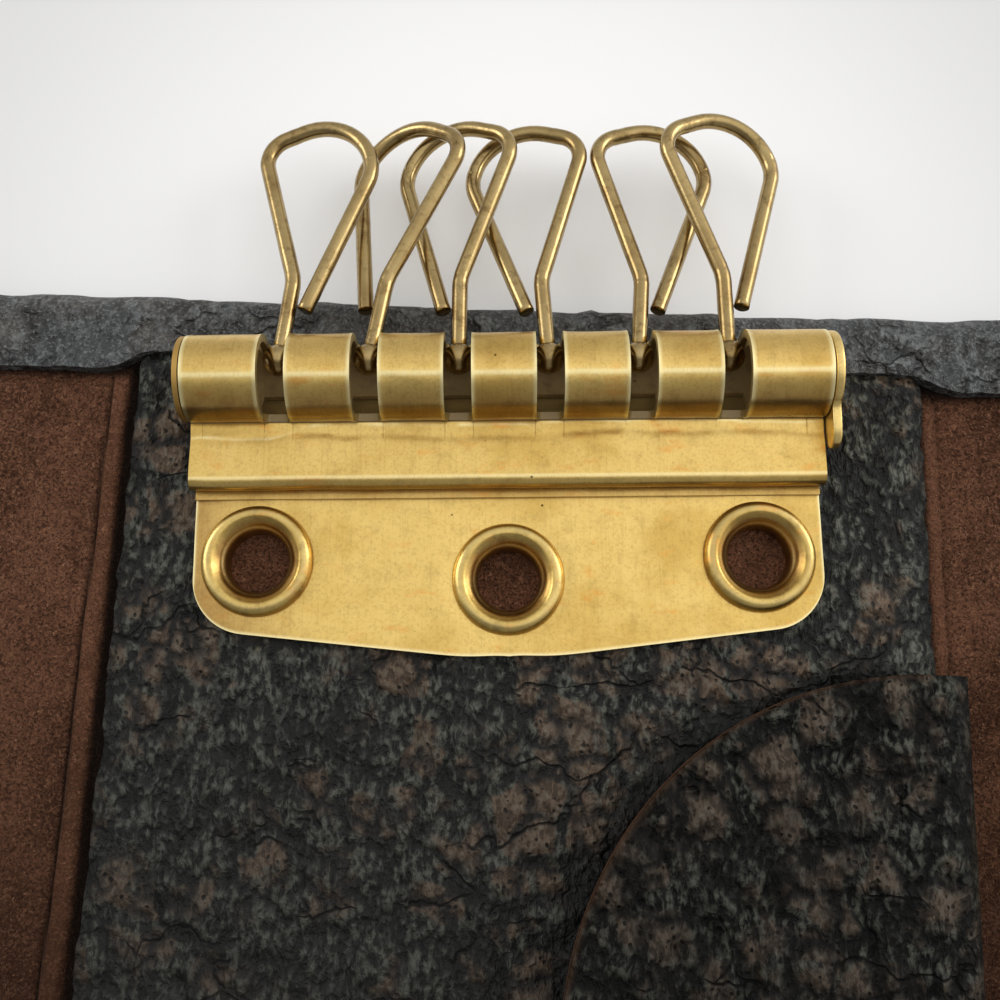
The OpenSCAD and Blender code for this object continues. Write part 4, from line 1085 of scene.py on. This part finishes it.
for finish, names in ((frame_brass, ("key_frame", "release_lever")),
                      (eyelet_brass, ("eyelet_left", "eyelet_middle", "eyelet_right")),
                      (tube_brass, ("lock_tube",)),
                      (snap_brass, ("snap_socket", "snap_cap", "snap_stud", "snap_rivet")),
                      (hook_brass, [f"hook_{i}" for i in range(1, 7)])):
    for name in names:
        for material_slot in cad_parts[name].material_slots:
            material_slot.material = finish

# ---- Table, light and camera ----

def table():
    """Pale table: a flat grid that reaches far past the case, with a painted pool of light:
    whitest behind the hooks, greyer further away.
    """
    reach, drop = 900, 0.12
    x, y = np.meshgrid(np.linspace(-reach, reach, 13), np.linspace(-reach, reach, 13))
    finish = Finish("pale_table", (255, 255, 255), Roughness=0.85, Specular_IOR_Level=0.2)
    away = finish.node("ShaderNodeVectorMath", {"operation": "DISTANCE"},
                       {0: finish.mm, 1: (0, 20, 0)}, "Value")
    # Painted pool of light: white round the hook edge, greyer further out
    finish.paint(away.ramp(10, 70), 218, 218, 218)
    finish.feed("Base Color", finish.tone)
    quads = grid(*x.shape)[:, ::-1]
    mesh = bpy.data.meshes.new("table")
    mesh.from_pydata((spots(x, y, -drop) * MM).tolist(), [], quads.tolist())
    mesh.materials.append(finish.material)
    floor = bpy.data.objects.new("table", mesh)
    bpy.context.scene.collection.objects.link(floor)


table()


def soft_light(name, place, power):
    """A large square lamp, aimed at the frame's middle."""
    width = 220
    data = bpy.data.lights.new(name, "AREA")
    data.shape, data.size, data.energy = "SQUARE", width * MM, power
    lamp = bpy.data.objects.new(name, data)
    back = np.array(place, float)
    back /= np.linalg.norm(back)
    right = np.cross((0.0, 0.0, 1.0), back)
    right /= np.linalg.norm(right)
    spot = Matrix(np.column_stack([right, np.cross(back, right), back]).tolist()).to_4x4()
    spot.translation = metres(*place)
    lamp.matrix_world = spot
    bpy.context.scene.collection.objects.link(lamp)


soft_light("left", (-420, 150, 230), 0.55)
soft_light("right", (420, 190, 230), 0.6)


def studio():
    """Soft surround: white above and behind the case, dim towards its front, as where the
    photographer stands, and a little dimmer low down at the back and to the left."""
    world = bpy.data.worlds.new("studio")
    world.use_nodes = True
    bpy.context.scene.world = world
    sky = Nodes(world.node_tree)
    way = sky.node("ShaderNodeTexCoord", {}, {}, "Generated")
    x, y = sky.axis(way, "X"), sky.axis(way, "Y")
    level = y.ramp(-0.55, -0.06, 0.30, 1.0) * y.ramp(0.3, 1.0, 1.0, 0.62) * (1.08 + 0.4 * x)
    lamp = world.node_tree.nodes["Background"]
    world.node_tree.links.new(level.link, lamp.inputs["Strength"])
    lamp.inputs["Color"].default_value = (1.0, 0.995, 0.985, 1)


studio()
bpy.context.scene.view_settings.view_transform = "Standard"

# The camera as fitted to the photo: its axes, then its place in metres, in columns
camera = bpy.data.cameras.new("camera")
camera.lens, camera.sensor_width, camera.clip_start = 40.38, 36.0, 0.001
viewer = bpy.data.objects.new("camera", camera)
viewer.matrix_world = Matrix(((0.99944, -0.03177, 0.01056, 0.000138),
                              (0.03331, 0.97578, -0.21616, -0.014317),
                              (-0.00343, 0.21638, 0.97630, 0.08971),
                              (0, 0, 0, 1)))
bpy.context.scene.collection.objects.link(viewer)
bpy.context.scene.camera = viewer
